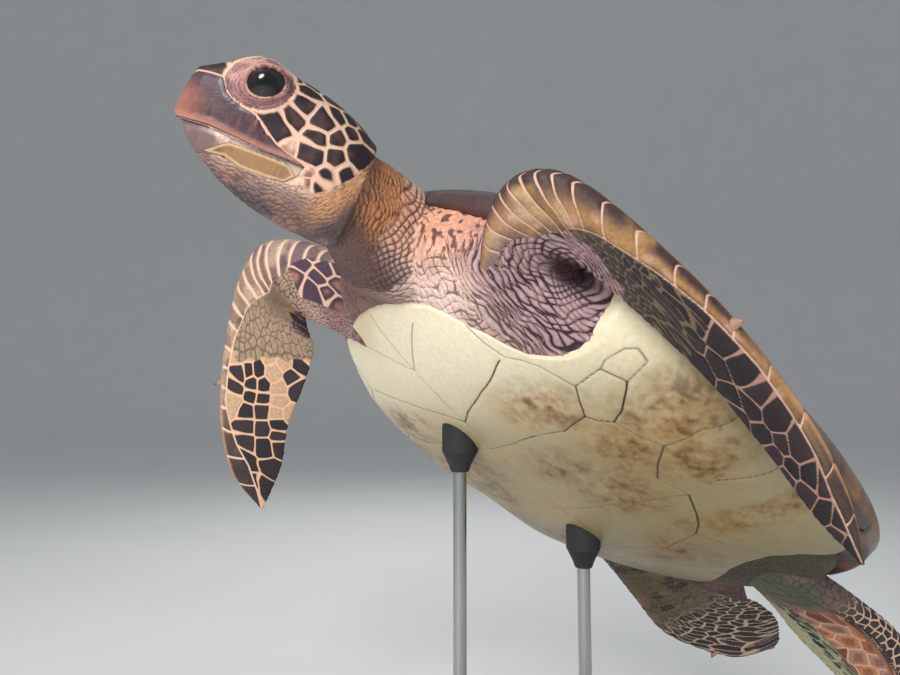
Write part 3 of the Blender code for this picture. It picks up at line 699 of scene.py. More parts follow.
# Middles of the big dark scales near a front flipper's tip: share along, share round; then their size.
LEFT_BLADE = [
    (0.655, 0.27), (0.690, 0.30), (0.720, 0.38), (0.745, 0.45), (0.772, 0.46), (0.810, 0.43), (0.860, 0.32),
    (0.915, 0.48), (0.970, 0.60), (0.660, 0.56), (0.700, 0.58), (0.750, 0.62), (0.795, 0.62), (0.845, 0.54),
    (0.900, 0.74), (0.680, 0.80), (0.730, 0.82), (0.780, 0.78), (0.805, 0.88), (0.828, 0.76), (0.862, 0.84),
    (0.745, 0.96), (0.835, 0.97), (0.930, 0.92),
]
RIGHT_ARM = [
    (0.285, 0.16), (0.265, 0.36), (0.235, 0.22), (0.225, 0.46), (0.200, 0.34), (0.195, 0.58), (0.170, 0.66),
    (0.165, 0.47), (0.250, 0.60), (0.160, 0.28), (0.295, 0.52),
]
RIGHT_BLADE = [
    (0.752, 0.39), (0.792, 0.41), (0.825, 0.41), (0.862, 0.33), (0.754, 0.59), (0.802, 0.64), (0.842, 0.68),
    (0.902, 0.84), (0.945, 0.74), (0.794, 0.84), (0.823, 0.87), (0.850, 0.91), (0.692, 0.41), (0.716, 0.41),
    (0.697, 0.55), (0.722, 0.56), (0.664, 0.36), (0.659, 0.47), (0.674, 0.28), (0.701, 0.25), (0.644, 0.87),
    (0.709, 0.94), (0.672, 0.83), (0.925, 0.36),
]
# Middles of the pale scales between them.
RIGHT_PALE = [
    (0.736, 0.77), (0.700, 0.72), (0.665, 0.63), (0.630, 0.55), (0.636, 0.72), (0.766, 0.95), (0.625, 0.35),
    (0.728, 0.24), (0.625, 0.24), (0.610, 0.92), (0.762, 0.78),
]


BLADE_STRETCH = 0.7  # under 1 the scales on a blade are longer than wide


def blade_scales(share, along, way, half_way, seeds):
    """Scales round named seeds on a blade: line distance in millimetres and each scale's number."""
    order = np.argsort(share)
    seeds = np.array(seeds)
    seed_along = np.interp(seeds[:, 0], share[order], along[order])
    seed_half = np.interp(seeds[:, 0], share[order], half_way[order])
    narrow = np.array([BLADE_STRETCH, 1.0])
    middles = np.stack([seed_along, seeds[:, 1] * seed_half], axis=1)
    line, index, _ = seeded_cells(np.stack([along, way], axis=1) * narrow, middles * narrow, np.zeros(len(seeds)))
    return line / MM, index


def front_limb(looks, where, fields, body, place, left):
    share, along, way, half_way, side = (fields[where, k] for k in range(5))
    salt = 11 if left else 47
    part = way / half_way
    wobble = (noise(place, 0.012, salt) - 0.5) * 0.0030
    line, inside, number = row_of_scutes(
        share, along + wobble, way, half_way, (LEAD_PLACES, LEAD_WIDTHS), LEAD_SEAMS, 0.35
    )
    size = np.interp(share, [0, 0.2, 0.35, 0.6, 0.75, 1], [3.2, 3.6, 4.2, 5.4, 8, 9]) * MM
    net, cell = net_scales(along + wobble, way + wobble, size, 0.9, 0.85, salt)
    seeds = LEFT_BLADE if left else RIGHT_BLADE + RIGHT_PALE
    big, index = blade_scales(share, along + wobble, way + wobble, half_way, seeds)
    start = 0.665 if left else 0.635
    blade = share + 0.03 * (noise(place, 0.01, salt + 5) - 0.5) > start
    if not left:
        arm, arm_index = blade_scales(share, along + wobble, way + wobble, half_way, RIGHT_ARM)
        on_arm = (share > 0.14) & (share < 0.31) & (part < 0.74)
        net = np.where(on_arm, arm, net)
        cell = np.where(on_arm, hash01(arm_index, arm_index, 3), cell)
    net = np.where(blade, big, net)
    cell = np.where(blade, hash01(index, index * 7, salt), cell)
    # small scales: soft and pinkish by the body, olive-brown in the bend, then dark
    near_body = ramp(share, 0.36, 0.22)
    soft = mix(shade_of(cell, [srgb(176, 146, 138), srgb(164, 132, 126), srgb(186, 156, 142)]),
               srgb(150, 116, 112), ramp(noise(place, 0.02, salt + 7), 0.4, 0.7))
    bend = shade_of(cell, [srgb(74, 64, 48), srgb(92, 80, 58), srgb(60, 52, 42), srgb(104, 88, 62)])
    dark = shade_of(cell, [srgb(44, 34, 38), srgb(52, 40, 44), srgb(38, 32, 36)])
    outer = ramp(share, 0.42, 0.60)
    if not left:
        inner_bend = bump(share, 0.45, 0.10) * ramp(part, 0.25, 0.6)
        bend = mix(bend, srgb(176, 146, 120), np.full(len(share), 0.75))
        bend = mix(bend, srgb(82, 68, 60), inner_bend * 0.85)
        outer = blade * (index < len(RIGHT_BLADE))
        dark = np.where((blade & (index >= len(RIGHT_BLADE)))[:, None], srgb(192, 156, 124), dark)
        outer = np.maximum(outer, blade)
    tint = mix(mix(bend, dark, outer), soft, near_body)
    if not left:
        purple = mix(np.tile(srgb(74, 54, 68), (len(share), 1)), srgb(150, 104, 84), ramp(net, 2.5, 6.0) * (cell > 0.5))
        tint = np.where(on_arm[:, None], purple, tint)
    # leading scutes: ochre or cream with a pinkish light and a dark outer edge
    row_shades = [srgb(158, 118, 74), srgb(178, 144, 104), srgb(166, 124, 92), srgb(146, 108, 68)]
    row_tint = shade_of(hash01(number, number, salt), row_shades)
    row_tint = mix(row_tint, srgb(200, 158, 138), ramp(noise(place, 0.008, salt + 2), 0.5, 0.8) * 0.5)
    if not left:
        heart = mix(np.tile(srgb(88, 64, 76), (len(share), 1)), srgb(128, 98, 86), ramp(share, 0.36, 0.46))
        heart = mix(heart, srgb(88, 58, 54), ramp(share, 0.70, 0.80))
        row_tint = mix(np.tile(srgb(210, 176, 150), (len(share), 1)), heart, ramp(line, 0.9, 2.6) * (0.45 + 0.4 * ramp(noise(place, 0.012, 49), 0.3, 0.6)))
    width = np.interp(share, LEAD_PLACES, LEAD_WIDTHS)
    edge_dark = ramp(part / width, 0.62, 0.10)
    patch = noise(place, 0.010, salt + 3)
    edge = edge_dark * ramp(patch, 0.10, 0.40) * (0.95 if left else 0.15)
    row_tint = mix(row_tint, srgb(56, 38, 40), edge)
    inner = ramp(part / width, 0.60, 0.95) * ramp(patch, 0.35, 0.65) * 0.75
    row_tint = mix(row_tint, srgb(78, 60, 50), inner)
    to_skin = ramp(part / width, 0.45, 1.0) * ramp(share, 0.36, 0.18) * (0.8 if left else 0)
    row_tint = mix(row_tint, srgb(128, 108, 104), to_skin)
    tip_dark = ramp(share, 0.72, 0.88) * ramp(part, 0.03, 0.10)
    row_tint = mix(row_tint, srgb(48, 38, 40), tip_dark * 0.92)
    tint = np.where(inside[:, None], row_tint, tint)
    tip_rim = ramp(share, 0.66, 0.80) * ramp(part, 0.10, 0.02)
    tint = mix(tint, srgb(206, 150, 104), tip_rim * 0.9)
    distance = np.where(inside, line, np.minimum(line, net))
    wide = 0.50 if left else 0.72
    net_half = np.interp(share, [0, 0.3, start - 0.05, start, 1], [0.32, 0.38, 0.48, wide, wide])
    half = np.where(inside, np.interp(share, [0, 0.5, 0.8], [0.50, 0.60, 0.80]) + (0 if left else 0.2), net_half)
    net_seam = mix(np.tile(srgb(66, 46, 50), (len(share), 1)), srgb(112, 94, 74), ramp(share, 0.34, 0.46))
    blade_seam = srgb(166, 128, 108) if left else srgb(222, 176, 142)
    net_seam = np.where(blade[:, None], blade_seam, net_seam)
    if not left:
        net_seam = np.where(on_arm[:, None], srgb(214, 174, 150), net_seam)
        half = np.where(on_arm & ~inside, 0.95, half)
    seam = np.where(inside[:, None], srgb(208, 168, 146) if left else srgb(226, 192, 168), net_seam)
    pillow = np.where(inside, 0.95, np.interp(share, [0, 0.3, 0.45, 1], [0.9, 0.8, 0.45, 0.55]))
    relief = (ramp(distance, 0, np.where(inside, 2.6, 1.7)) - 0.6) * pillow
    looks.paint(where, relief, tint, distance, half, seam)
    pit = LEFT_PIT if left else RIGHT_PIT
    reach = np.linalg.norm(body - pit, axis=1) * SHELL + 0.010 * (noise(place, 0.01, salt + 9) - 0.5)
    root = (share < (0.20 if left else 0.13)) | (reach < (0.040 if left else 0.016))
    soft_part = np.flatnonzero(root & ~(inside & (share > 0.185 + 0.1 * (noise(place, 0.012, 31) - 0.5))))
    paint_front(looks, where[soft_part], body[soft_part], place[soft_part])
    if not left:
        # an ochre ring round a black spot at the elbow's fold; the black spot is painted shade in the pit
        to_shaded_pit = np.hypot(share - 0.461, (part - 0.97) * 0.12)
        patched = mix(looks.tint[where], srgb(150, 104, 56), ramp(to_shaded_pit, 0.034, 0.028))
        looks.tint[where] = mix(patched, srgb(16, 12, 14), ramp(to_shaded_pit, 0.026, 0.022))


def rear_limb(looks, where, fields, place, left):
    share, along, way, half_way, side = (fields[where, k] for k in range(5))
    salt = 83 if left else 91
    part = way / half_way
    wobble = (noise(place, 0.012, salt) - 0.5) * 0.0026
    if left:
        tint, distance, half, seam = rear_left_pattern(share, along + wobble, way + wobble, part, place, salt)
    else:
        tint, distance, half, seam = rear_right_pattern(share, along + wobble, way + wobble, part, place, salt)
    looks.paint(where, (ramp(distance, 0, 2.0) - 0.6) * 0.6, tint, distance, half, seam)


def rear_left_pattern(share, along, way, part, place, salt):
    """Cream back edge with a row of dark spots, large orange scutes in the middle, black towards the front."""
    size = np.interp(part, [0, 0.25, 0.35, 0.7, 0.8, 1], [7, 8, 17, 17, 11, 9]) * MM
    steady = np.interp(part, [0, 0.3, 0.4, 1], [0.8, 0.6, 0.5, 0.7])
    net, cell = net_scales(along, way, size, 1.25, steady, salt)
    black = shade_of(cell, [srgb(44, 36, 40), srgb(56, 44, 46), srgb(38, 32, 36)])
    orange = shade_of(cell, [srgb(168, 96, 66), srgb(190, 124, 88), srgb(126, 66, 50), srgb(178, 128, 108)])
    orange = mix(orange, srgb(84, 50, 42), ramp(net, 3.0, 5.5) * 0.55)
    cream = np.tile(srgb(168, 166, 132), (len(share), 1))
    spots = ramp(net, 1.0, 1.6) * (cell > 0.25)
    cream = mix(cream, srgb(34, 34, 40), spots * ramp(bump(part, 0.79, 0.13), 0.25, 0.5))
    tint = mix(mix(black, orange, ramp(part, 0.28, 0.34)), cream, ramp(part, 0.69, 0.73))
    skin = ramp(share + 0.05 * noise(place, 0.02, salt), 0.40, 0.26)
    tint = mix(tint, srgb(112, 92, 84), skin)
    tint = mix(tint, srgb(84, 88, 66), skin * ramp(noise(place, 0.035, salt + 1), 0.45, 0.65))
    half = np.where(part > 0.71, 0.4, np.interp(share, [0, 0.3, 1], [0.35, 0.6, 0.85]))
    seam = mix(np.tile(srgb(214, 178, 150), (len(share), 1)), srgb(70, 54, 52), skin)
    seam = np.where((part > 0.71)[:, None], srgb(168, 152, 122), seam)
    return tint, net, half, seam


def rear_right_pattern(share, along, way, part, place, salt):
    """Mottled green-brown thigh and a paddle of small black scales in a cream net."""
    size = np.interp(share, [0, 0.4, 0.7, 1], [4.2, 5.0, 6.5, 8]) * MM
    net, cell = net_scales(along, way, size, 1.7, 0.85, salt)
    black = shade_of(cell, [srgb(46, 38, 42), srgb(58, 46, 48), srgb(40, 34, 38)])
    mottled = mix(np.tile(srgb(98, 90, 68), (len(share), 1)), srgb(58, 50, 44), ramp(noise(place, 0.014, salt), 0.42, 0.62))
    mottled = mix(mottled, srgb(132, 104, 80), ramp(noise(place, 0.008, salt + 1), 0.6, 0.8))
    on_paddle = ramp(share + 0.05 * noise(place, 0.02, salt + 2), 0.42, 0.56)
    tint = mix(mottled, black, on_paddle)
    seam = mix(np.tile(srgb(120, 104, 84), (len(share), 1)), srgb(208, 178, 150), on_paddle)
    half = np.interp(share, [0, 0.4, 0.6, 1], [0.3, 0.40, 0.50, 0.60])
    return tint, net, half, seam


# Middles of the armpits' folds, in the animal's frame.
LEFT_PIT = np.array([0.318, 0.296, -0.031])
RIGHT_PIT = np.array([0.428, -0.258, -0.088])
# Chest tones and a painted highlight: middle in the animal's frame, reach, colour. The two near-white tones low on the
# chest's left are the painted highlight, where the light fell strongest.
CHEST_TONES_AND_HIGHLIGHT = [
    ((0.437, 0.135, -0.050), 0.06, srgb(222, 160, 112)), ((0.395, 0.150, -0.080), 0.06, srgb(240, 212, 204)),
    ((0.410, 0.200, -0.045), 0.06, srgb(228, 182, 152)), ((0.384, 0.102, -0.088), 0.05, srgb(240, 216, 206)),
    ((0.458, 0.135, -0.082), 0.05, srgb(206, 170, 160)), ((0.520, 0.140, -0.030), 0.07, srgb(214, 158, 112)),
    ((0.400, 0.000, 0.060), 0.16, srgb(112, 82, 66)), ((0.400, -0.060, -0.060), 0.10, srgb(120, 96, 88)),
    ((0.300, 0.280, -0.080), 0.10, srgb(184, 152, 148)), ((0.330, -0.240, -0.060), 0.10, srgb(168, 138, 138)),
    ((0.460, 0.040, -0.110), 0.07, srgb(116, 94, 84)),
]


def fold_cells(first, second, long_size, short_size, salt):
    """Lens-shaped folds: line distance in millimetres, measured over the short size."""
    edge, number = cells(first / long_size, second / short_size, 0.9, salt)
    return edge * short_size * 1.15 / MM, number


def crossed_folds(across, along, pitch, slope, place, salt):
    """Two families of creases that cross at a shallow angle: millimetres to the nearest."""
    warp = (noise(place, 5 * pitch, salt) - 0.5) * 2.4 * pitch
    nearest = np.full(len(across), 9.0)
    for turn, extra in ((slope, 1), (-slope, 2)):
        own = (noise(place, 2 * pitch, salt + extra) - 0.5) * 1.1 * pitch
        phase = (across + turn * along + warp + own) / pitch
        nearest = np.minimum(nearest, np.abs(phase - np.floor(phase) - 0.5) * pitch / MM)
    return nearest


PIT_ARMS = 13  # spirals of folds that run out from an armpit, each way
PIT_PITCH = 0.0043


PIT_LONG = 0.55  # share of its length that an armpit's slit keeps in the measure of reach


def round_pit(body, pit, place, salt):
    """Folds that run round an armpit, which is a slit from front to back."""
    away = (body - pit) * SHELL * np.array([PIT_LONG, 1.0, 1.0])
    reach = np.linalg.norm(away, axis=1)
    turn = np.arctan2(away[:, 1], -away[:, 0]) / (2 * math.pi)
    return crossed_folds(reach, turn, PIT_PITCH, PIT_ARMS * PIT_PITCH, place, salt), reach


def front_skin(body, place):
    """Soft skin of chest, shoulders and arm roots, laid out by place alone so that regions join."""
    weight = np.full(len(body), 1e-6)
    tint = np.tile(srgb(178, 146, 136), (len(body), 1)) * 1e-6
    # the chest's tones, the painted highlight among them
    for middle, reach, colour in CHEST_TONES_AND_HIGHLIGHT:
        near = np.exp(-(np.linalg.norm(body - middle, axis=1) / reach) ** 2)
        weight += near
        tint += near[:, None] * colour
    tint = mix(tint / weight[:, None], srgb(150, 112, 106), ramp(noise(place, 0.012, 51), 0.5, 0.8) * 0.35)
    warp = (noise(place, 0.016, 52) - 0.5) * 0.004
    first = (body[:, 0] * 0.8 - body[:, 1] * 0.6) * SHELL + warp
    second = (body[:, 0] * 0.45 + body[:, 1] * 0.6 - body[:, 2] * 0.66) * SHELL + warp
    line = crossed_folds(second, first, 0.0046, 0.45, place, 53)
    # the creases take the skin's colour darkened, with a plum tone: painted shade in the folds
    crease = mix(tint * 0.45, srgb(96, 54, 62), np.full(len(body), 0.45))
    depth = np.full(len(body), 0.65)
    for pit, salt in ((LEFT_PIT, 54), (RIGHT_PIT, 57)):
        folds, reach = round_pit(body, pit, place, salt)
        close = reach + 0.012 * (noise(place, 0.01, salt + 1) - 0.5) < 0.072
        line = np.where(close, folds, line)
        depth = np.where(close, 1.15, depth)
        fade = ramp(reach, 0.085, 0.045)
        # round an armpit: grey-pink skin, turning purple by the folds' lines as painted shade in the folds
        shade = mix(np.tile(srgb(166, 142, 142), (len(body), 1)), srgb(124, 88, 96), ramp(line, 1.3, 0.4))
        tint = mix(tint, shade, fade * 0.85)
        # near black in the armpit's middle: painted shade deep in the pit
        tint = mix(tint, srgb(44, 20, 20), ramp(reach, 0.018, 0.007))
        # the armpit's creases darker still: painted shade
        crease = mix(crease, srgb(52, 30, 42), fade)
    relief = (ramp(line, 0, 1.6) - 0.6) * depth
    return tint, line, relief, crease


def spots(body, place):
    """Round dark spots on the skin beside the front of the shell."""
    near = np.exp(-(np.linalg.norm(body - (0.432, 0.172, -0.004), axis=1) / 0.055) ** 2)
    grain = noise(place, 0.0036, 71)
    least = 0.76 - 0.10 * near
    return ramp(grain, least, least + 0.03) * ramp(near, 0.15, 0.35), near


def paint_front(looks, where, body, place):
    tint, line, relief, crease = front_skin(body, place)
    dots, near = spots(body, place)
    tint = mix(tint, srgb(224, 150, 118), ramp(near, 0.1, 0.6) * 0.5)
    tint = mix(tint, srgb(74, 50, 50), dots * 0.9)
    half = (0.24 + 0.34 * ramp(noise(place, 0.008, 72), 0.3, 0.7)) * (1 - near)
    looks.paint(where, relief, tint, line, half, crease)


def neck_skin(looks, where, fields, body, place):
    """Rings of fold near the head, ridges below them with painted highlights on their tops and painted shade between
    them, and the chest's skin at the root.
    """
    share, along, way, half_way, side = (fields[where, k] for k in range(5))
    part = way / half_way
    slant = along + 0.45 * way
    rings = crossed_folds(slant, way, 0.0030, 0.22, place, 15)
    ridges = crossed_folds(slant, way, 0.0062, 0.75, place, 23)
    near_head = ramp(share + 0.10 * (noise(place, 0.012, 24) - 0.5), 0.60, 0.72)
    orange = bump(share, 0.72, 0.30)
    tint = mix(np.tile(srgb(178, 136, 118), (len(share), 1)), srgb(204, 138, 88), orange * 0.9)
    tint = mix(tint, srgb(196, 156, 118), ramp(share, 0.80, 0.95) * 0.7)
    # greyer and darker towards the neck's underside: its grey-brown skin, darkened as painted shade under the neck
    tint = mix(tint, srgb(88, 70, 72), ramp(part + 0.1 * noise(place, 0.01, 25), 0.58, 0.80) * 0.9)
    tint = mix(tint, srgb(100, 70, 54), ramp(part, 0.30, 0.05) * 0.6)
    # lower down, the ridges' tops are painted near white as a highlight and the troughs darkened as painted shade
    painted_ridge_light = mix(tint, srgb(240, 206, 192), np.full(len(share), 0.5))
    low_tint = mix(tint * 0.72, painted_ridge_light, ramp(ridges, 0.5, 1.4))
    # towards the underside the ridges lose their painted highlight and keep a slight painted shade
    low_tint = mix(low_tint, tint * 0.9, ramp(part, 0.62, 0.80))
    tint = mix(low_tint, tint, near_head)
    line = np.where(near_head > 0.5, rings, np.minimum(ridges, rings + 0.35))
    relief = near_head * (ramp(rings, 0, 1.2) - 0.6) * 0.75
    relief += (1 - near_head) * ((ramp(ridges, 0, 2.0) - 0.6) * 1.3 + (ramp(rings, 0, 1.0) - 0.6) * 0.3)
    half = 0.18 + 0.26 * ramp(noise(place, 0.007, 27), 0.3, 0.7)
    # fold lines take the skin's colour darkened: painted shade in the creases, browner where the neck is orange
    seam = mix(tint * 0.52, srgb(96, 50, 36), orange * 0.5)
    looks.paint(where, relief, tint, line, half, seam)
    low = np.flatnonzero(share + 0.08 * (noise(place, 0.014, 26) - 0.5) < 0.42)
    paint_front(looks, where[low], body[low], place[low])
    dots, _ = spots(body, place)
    looks.tint[where] = mix(looks.tint[where], srgb(74, 50, 50), dots * 0.9)


def rear_skin(looks, where, body, place):
    """Wrinkled skin of the groin and tail: pinkish by the tail, dark green-brown outside it."""
    warp = (noise(place, 0.014, 61) - 0.5) * 0.008
    line, _ = fold_cells(body[:, 0] * SHELL + warp, body[:, 1] * SHELL + warp, 0.0040, 0.0056, 62)
    middle = bump(body[:, 1], 0.0, 0.16)
    tint = mix(np.tile(srgb(74, 70, 56), (len(body), 1)), srgb(122, 82, 76), middle * 0.85)
    tint = mix(tint, srgb(54, 46, 40), ramp(noise(place, 0.02, 64), 0.5, 0.75) * 0.6)
    # fold lines are the skin's colour darkened: painted shade in the creases
    looks.paint(where, (ramp(line, 0, 1.5) - 0.6) * 0.7, tint, line, 0.40, tint * 0.4)


# Middles of the head's scales: back from the tip, out from the midline, up from the mouth; and extra size.
HEAD_SCALES = [
    (0.114, 0.064, 0.029, 0.005), (0.1265, 0.0665, 0.0475, 0.000), (0.160, 0.065, 0.0615, 0.002),
    (0.1335, 0.0625, 0.069, 0.000), (0.132, 0.053, 0.085, 0.000), (0.1715, 0.057, 0.074, -0.001),
    (0.161, 0.0285, 0.093, 0.004), (0.161, 0.070, 0.0375, 0.000), (0.182, 0.068, 0.0475, -0.001),
    (0.198, 0.058, 0.0625, -0.002), (0.211, 0.0425, 0.071, 0.000), (0.1615, 0.0705, 0.0185, 0.003),
    (0.189, 0.0705, 0.0275, 0.001), (0.2115, 0.063, 0.043, 0.004), (0.190, 0.0415, 0.081, 0.000),
    (0.108, 0.040, 0.098, 0.002), (0.204, 0.0245, 0.082, 0.002), (0.025, 0.016, 0.066, 0.004),
    (0.052, 0.010, 0.082, 0.006), (0.095, 0.000, 0.100, 0.006), (0.132, 0.000, 0.098, 0.008),
    (0.134, 0.028, 0.097, 0.002), (0.172, 0.000, 0.094, 0.008), (0.214, 0.000, 0.080, 0.006),
    (0.185, 0.071, 0.0027, -0.001), (0.205, 0.069, 0.016, -0.001), (0.181, 0.0695, -0.0125, -0.001),
    (0.134, 0.067, 0.013, -0.004), (0.163, 0.070, -0.003, -0.002), (0.168, 0.069, -0.016, -0.002),
]
SMALL_SCALES = (24, 25, 26)
PALE_SCALES = (27, 28, 29)
# Lower border of the scaled part of the head: back from the tip, up from the mouth.
SCALE_FLOOR_ALONG = [0.0, 0.05, 0.085, 0.125, 0.150, 0.165, 0.180, 0.192, 0.205, 0.216, 0.226, 0.232, 0.240]
SCALE_FLOOR_UP = [
    -0.020, -0.022, -0.024, -0.026, -0.023, -0.022, -0.022, -0.012, 0.002, 0.016, 0.036, 0.052, 0.075,
]
MOUTH_ALONG = [-0.03, 0.0, 0.020, 0.045, 0.070, 0.110, 0.140, 0.160, 0.30]
MOUTH_UP = [-0.0015, -0.0015, -0.001, 0.0015, 0.0005, -0.001, 0.001, 0.002, 0.002]
EYE_MIDDLE = np.array([0.0873, 0.0645, 0.0697])
EYE_LONG = unit((0.0358, 0.0, 0.0203))
OPENING_LONG = 10.7 * MM / SHELL
OPENING_SHORT = 7.6 * MM / SHELL
# Outer border of the wrinkled skin round the eye: back from the tip, up from the mouth.
LID_OUTLINE = [
    (0.042, 0.057), (0.047, 0.048), (0.056, 0.0415), (0.066, 0.038), (0.078, 0.0370), (0.094, 0.0400),
    (0.104, 0.047), (0.112, 0.057), (0.117, 0.068), (0.118, 0.080), (0.110, 0.0935), (0.098, 0.099),
    (0.085, 0.1015), (0.070, 0.100), (0.056, 0.090), (0.046, 0.0795), (0.042, 0.068),
]


def on_left(head):
    """Points of the head mirrored on to its left side."""
    return np.stack([head[:, 0], np.abs(head[:, 1]), head[:, 2]], axis=1)


def inside_outline(points, outline):
    """Signed distance to a closed outline in a plane, positive inside, in the outline's units."""
    outline = np.asarray(outline, float)
    nearest = np.full(len(points), 9.0)
    inside = np.zeros(len(points), bool)
    for start, end in zip(outline, np.roll(outline, -1, axis=0)):
        way = end - start
        share = np.clip(((points - start) @ way) / (way @ way), 0, 1)
        nearest = np.minimum(nearest, np.linalg.norm(points - start - share[:, None] * way, axis=1))
        crosses = (start[1] > points[:, 1]) != (end[1] > points[:, 1])
        height = np.where(abs(way[1]) < 1e-12, 1e-12, way[1])
        inside ^= crosses & (points[:, 0] < start[0] + way[0] * (points[:, 1] - start[1]) / height)
    return np.where(inside, nearest, -nearest)


def eye_opening(head):
    """How far out a point of the head is from the middle of the eye's opening, 1 being its edge; its
    share of the way from that edge to the lids' outer border; and how far up from the middle."""
    offset = on_left(head) - EYE_MIDDLE
    across = np.cross(EYE_LONG, (0, 1, 0))
    open_ = np.sqrt(((offset @ EYE_LONG) / OPENING_LONG) ** 2 + ((offset @ across) / OPENING_SHORT) ** 2)
    from_edge = np.maximum(open_ - 1, 0) * OPENING_SHORT
    to_border = inside_outline(head[:, [0, 2]], LID_OUTLINE)
    lid = from_edge / np.maximum(from_edge + to_border, 1e-6)
    lid = np.where(to_border > 0, lid, 1 - to_border / OPENING_SHORT)
    return open_, lid, (offset[:, 2] - 0.5 * offset[:, 0]) / OPENING_LONG


def beak_outlines(side_view):
    """Millimetres inside the upper and the lower half of the horn, for points (back, up) of the head."""
    level = side_view - np.stack(
        [np.zeros(len(side_view)), np.interp(side_view[:, 0], MOUTH_ALONG, MOUTH_UP)], axis=1
    )
    near_mouth = np.abs(level[:, 1]) < 0.03
    used = np.where(near_mouth[:, None], level, side_view)
    return inside_outline(used, UPPER_BEAK) * SHELL / MM, inside_outline(used, LOWER_BEAK) * SHELL / MM


def head_skin(looks, where, head, place):
    """Large scales over the roof and cheek, folds under the jaw, and lids round the eyes."""
    shaken = on_left(head) + (np.stack([noise(place, 0.006, 70 + k) for k in range(3)], axis=1) - 0.5) * 0.003
    seeds = np.array(HEAD_SCALES)
    line, index, _ = seeded_cells(shaken, seeds[:, :3], seeds[:, 3])
    line = line * SHELL / MM
    shades = [srgb(38, 27, 34), srgb(46, 32, 36), srgb(34, 24, 30)]
    tint = shade_of(hash01(index, index * 3, 7), shades)
    tint = mix(tint, srgb(98, 64, 52), ramp(noise(place, 0.005, 77), 0.4, 0.8) * 0.4)
    pale = np.isin(index, PALE_SCALES)
    cream = mix(srgb(214, 176, 152), srgb(150, 104, 88), ramp(noise(place, 0.005, 76), 0.45, 0.75))
    tint = np.where(pale[:, None], cream, tint)
    half = np.where(np.isin(index, SMALL_SCALES), 1.9, np.where(pale, 0.5, 1.05))
    upper, lower = beak_outlines(head[:, [0, 2]])
    line = np.minimum(line, np.where(np.abs(upper) < 9, np.abs(upper) - 0.2, 20))
    seam = mix(np.tile(srgb(216, 182, 150), (len(head), 1)), srgb(214, 164, 150), noise(place, 0.015, 78) * 0.8)
    relief = ramp(line, 0.2, 2.4) * 0.8 - 0.4
    floor = np.interp(head[:, 0], SCALE_FLOOR_ALONG, SCALE_FLOOR_UP)
    under = head[:, 2] < floor + 0.006 * (noise(place, 0.008, 79) - 0.5)
    # folds that follow the jaw, then turn up round the back of the cheek
    below = floor - head[:, 2]
    fine = crossed_folds(below * SHELL, head[:, 0] * SHELL, 0.0023, 0.10, place, 81)
    coarse = crossed_folds(below * SHELL, head[:, 0] * SHELL, 0.0034, 0.42, place, 84)
    deep = ramp(below + 0.008 * (noise(place, 0.01, 86) - 0.5), 0.016, 0.028)
    fold = np.where(deep > 0.5, coarse, fine)
    # the throat turns darker and greyer further under the jaw: painted shade under the head
    throat = mix(np.tile(srgb(154, 124, 112), (len(head), 1)), srgb(92, 76, 78), ramp(below, 0.004, 0.035))
    throat = mix(throat, srgb(176, 128, 110), ramp(noise(place, 0.012, 82), 0.5, 0.8) * 0.5)
    back = ramp(head[:, 0], 0.165, 0.205)
    throat = mix(throat, srgb(202, 148, 104), back * ramp(below, 0.07, 0.02) * 0.8)
    throat = mix(throat, srgb(214, 178, 152), ramp(below, 0.010, 0.002) * 0.6)
    line = np.where(under, fold, line)
    tint = np.where(under[:, None], throat, tint)
    half = np.where(under, 0.18 + 0.22 * ramp(noise(place, 0.006, 83), 0.3, 0.7), half)
    # fold lines are the throat's colour darkened: painted shade in the creases
    seam = np.where(under[:, None], throat * 0.50, seam)
    relief = np.where(under, (ramp(fold, 0, 1.1) - 0.6) * 0.7, relief)
    # lids
    open_, lid, up = eye_opening(head)
    lid = lid + 0.05 * (noise(place, 0.006, 87) - 0.5)
    lids = lid < 1
    around_eye = np.arctan2(head[:, 2] - EYE_MIDDLE[2], EYE_MIDDLE[0] - head[:, 0])
    ahead = bump(around_eye, 0.3, 1.1)
    rings_across = 4.2 + 2.8 * ahead
    rise = lid * rings_across + 0.5 * (noise(place, 0.004, 88) - 0.5)
    width = np.where(head[:, 0] < EYE_MIDDLE[0], 2.2, 1.7)
    rings = np.abs(rise - np.floor(rise) - 0.5) * width
    nicks, _ = fold_cells(around_eye * 0.011, rise * 0.0021, 0.0042, 0.0021, 89)
    upper_lid = ramp(up, -0.2, 0.9)
    lid_tint = mix(np.tile(srgb(140, 98, 96), (len(head), 1)), srgb(196, 148, 136), np.maximum(upper_lid, ahead))
    lid_tint = mix(lid_tint, srgb(98, 64, 70), ramp(noise(place, 0.006, 90), 0.45, 0.75) * 0.6)
    lid_tint = mix(lid_tint, srgb(200, 148, 120), ramp(lid, 0.13, 0.03) * ramp(up, 0.3, -0.3))
    lid_tint = mix(lid_tint, srgb(60, 40, 42), ramp(open_, 1.03, 0.98))
    line = np.where(lids, np.minimum(rings, nicks + 0.3), np.minimum(line, np.abs(lid - 1) * 4.0))
    tint = np.where(lids[:, None], lid_tint, tint)
    half = np.where(lids, 0.30, half)
    # the lids' wrinkles are their colour darkened: painted shade in the creases
    seam = np.where(lids[:, None], lid_tint * 0.45, seam)
    relief = np.where(lids, (ramp(line, 0, 0.9) - 0.6) * 0.6, relief)
    looks.paint(where, relief, tint, line, half, seam)


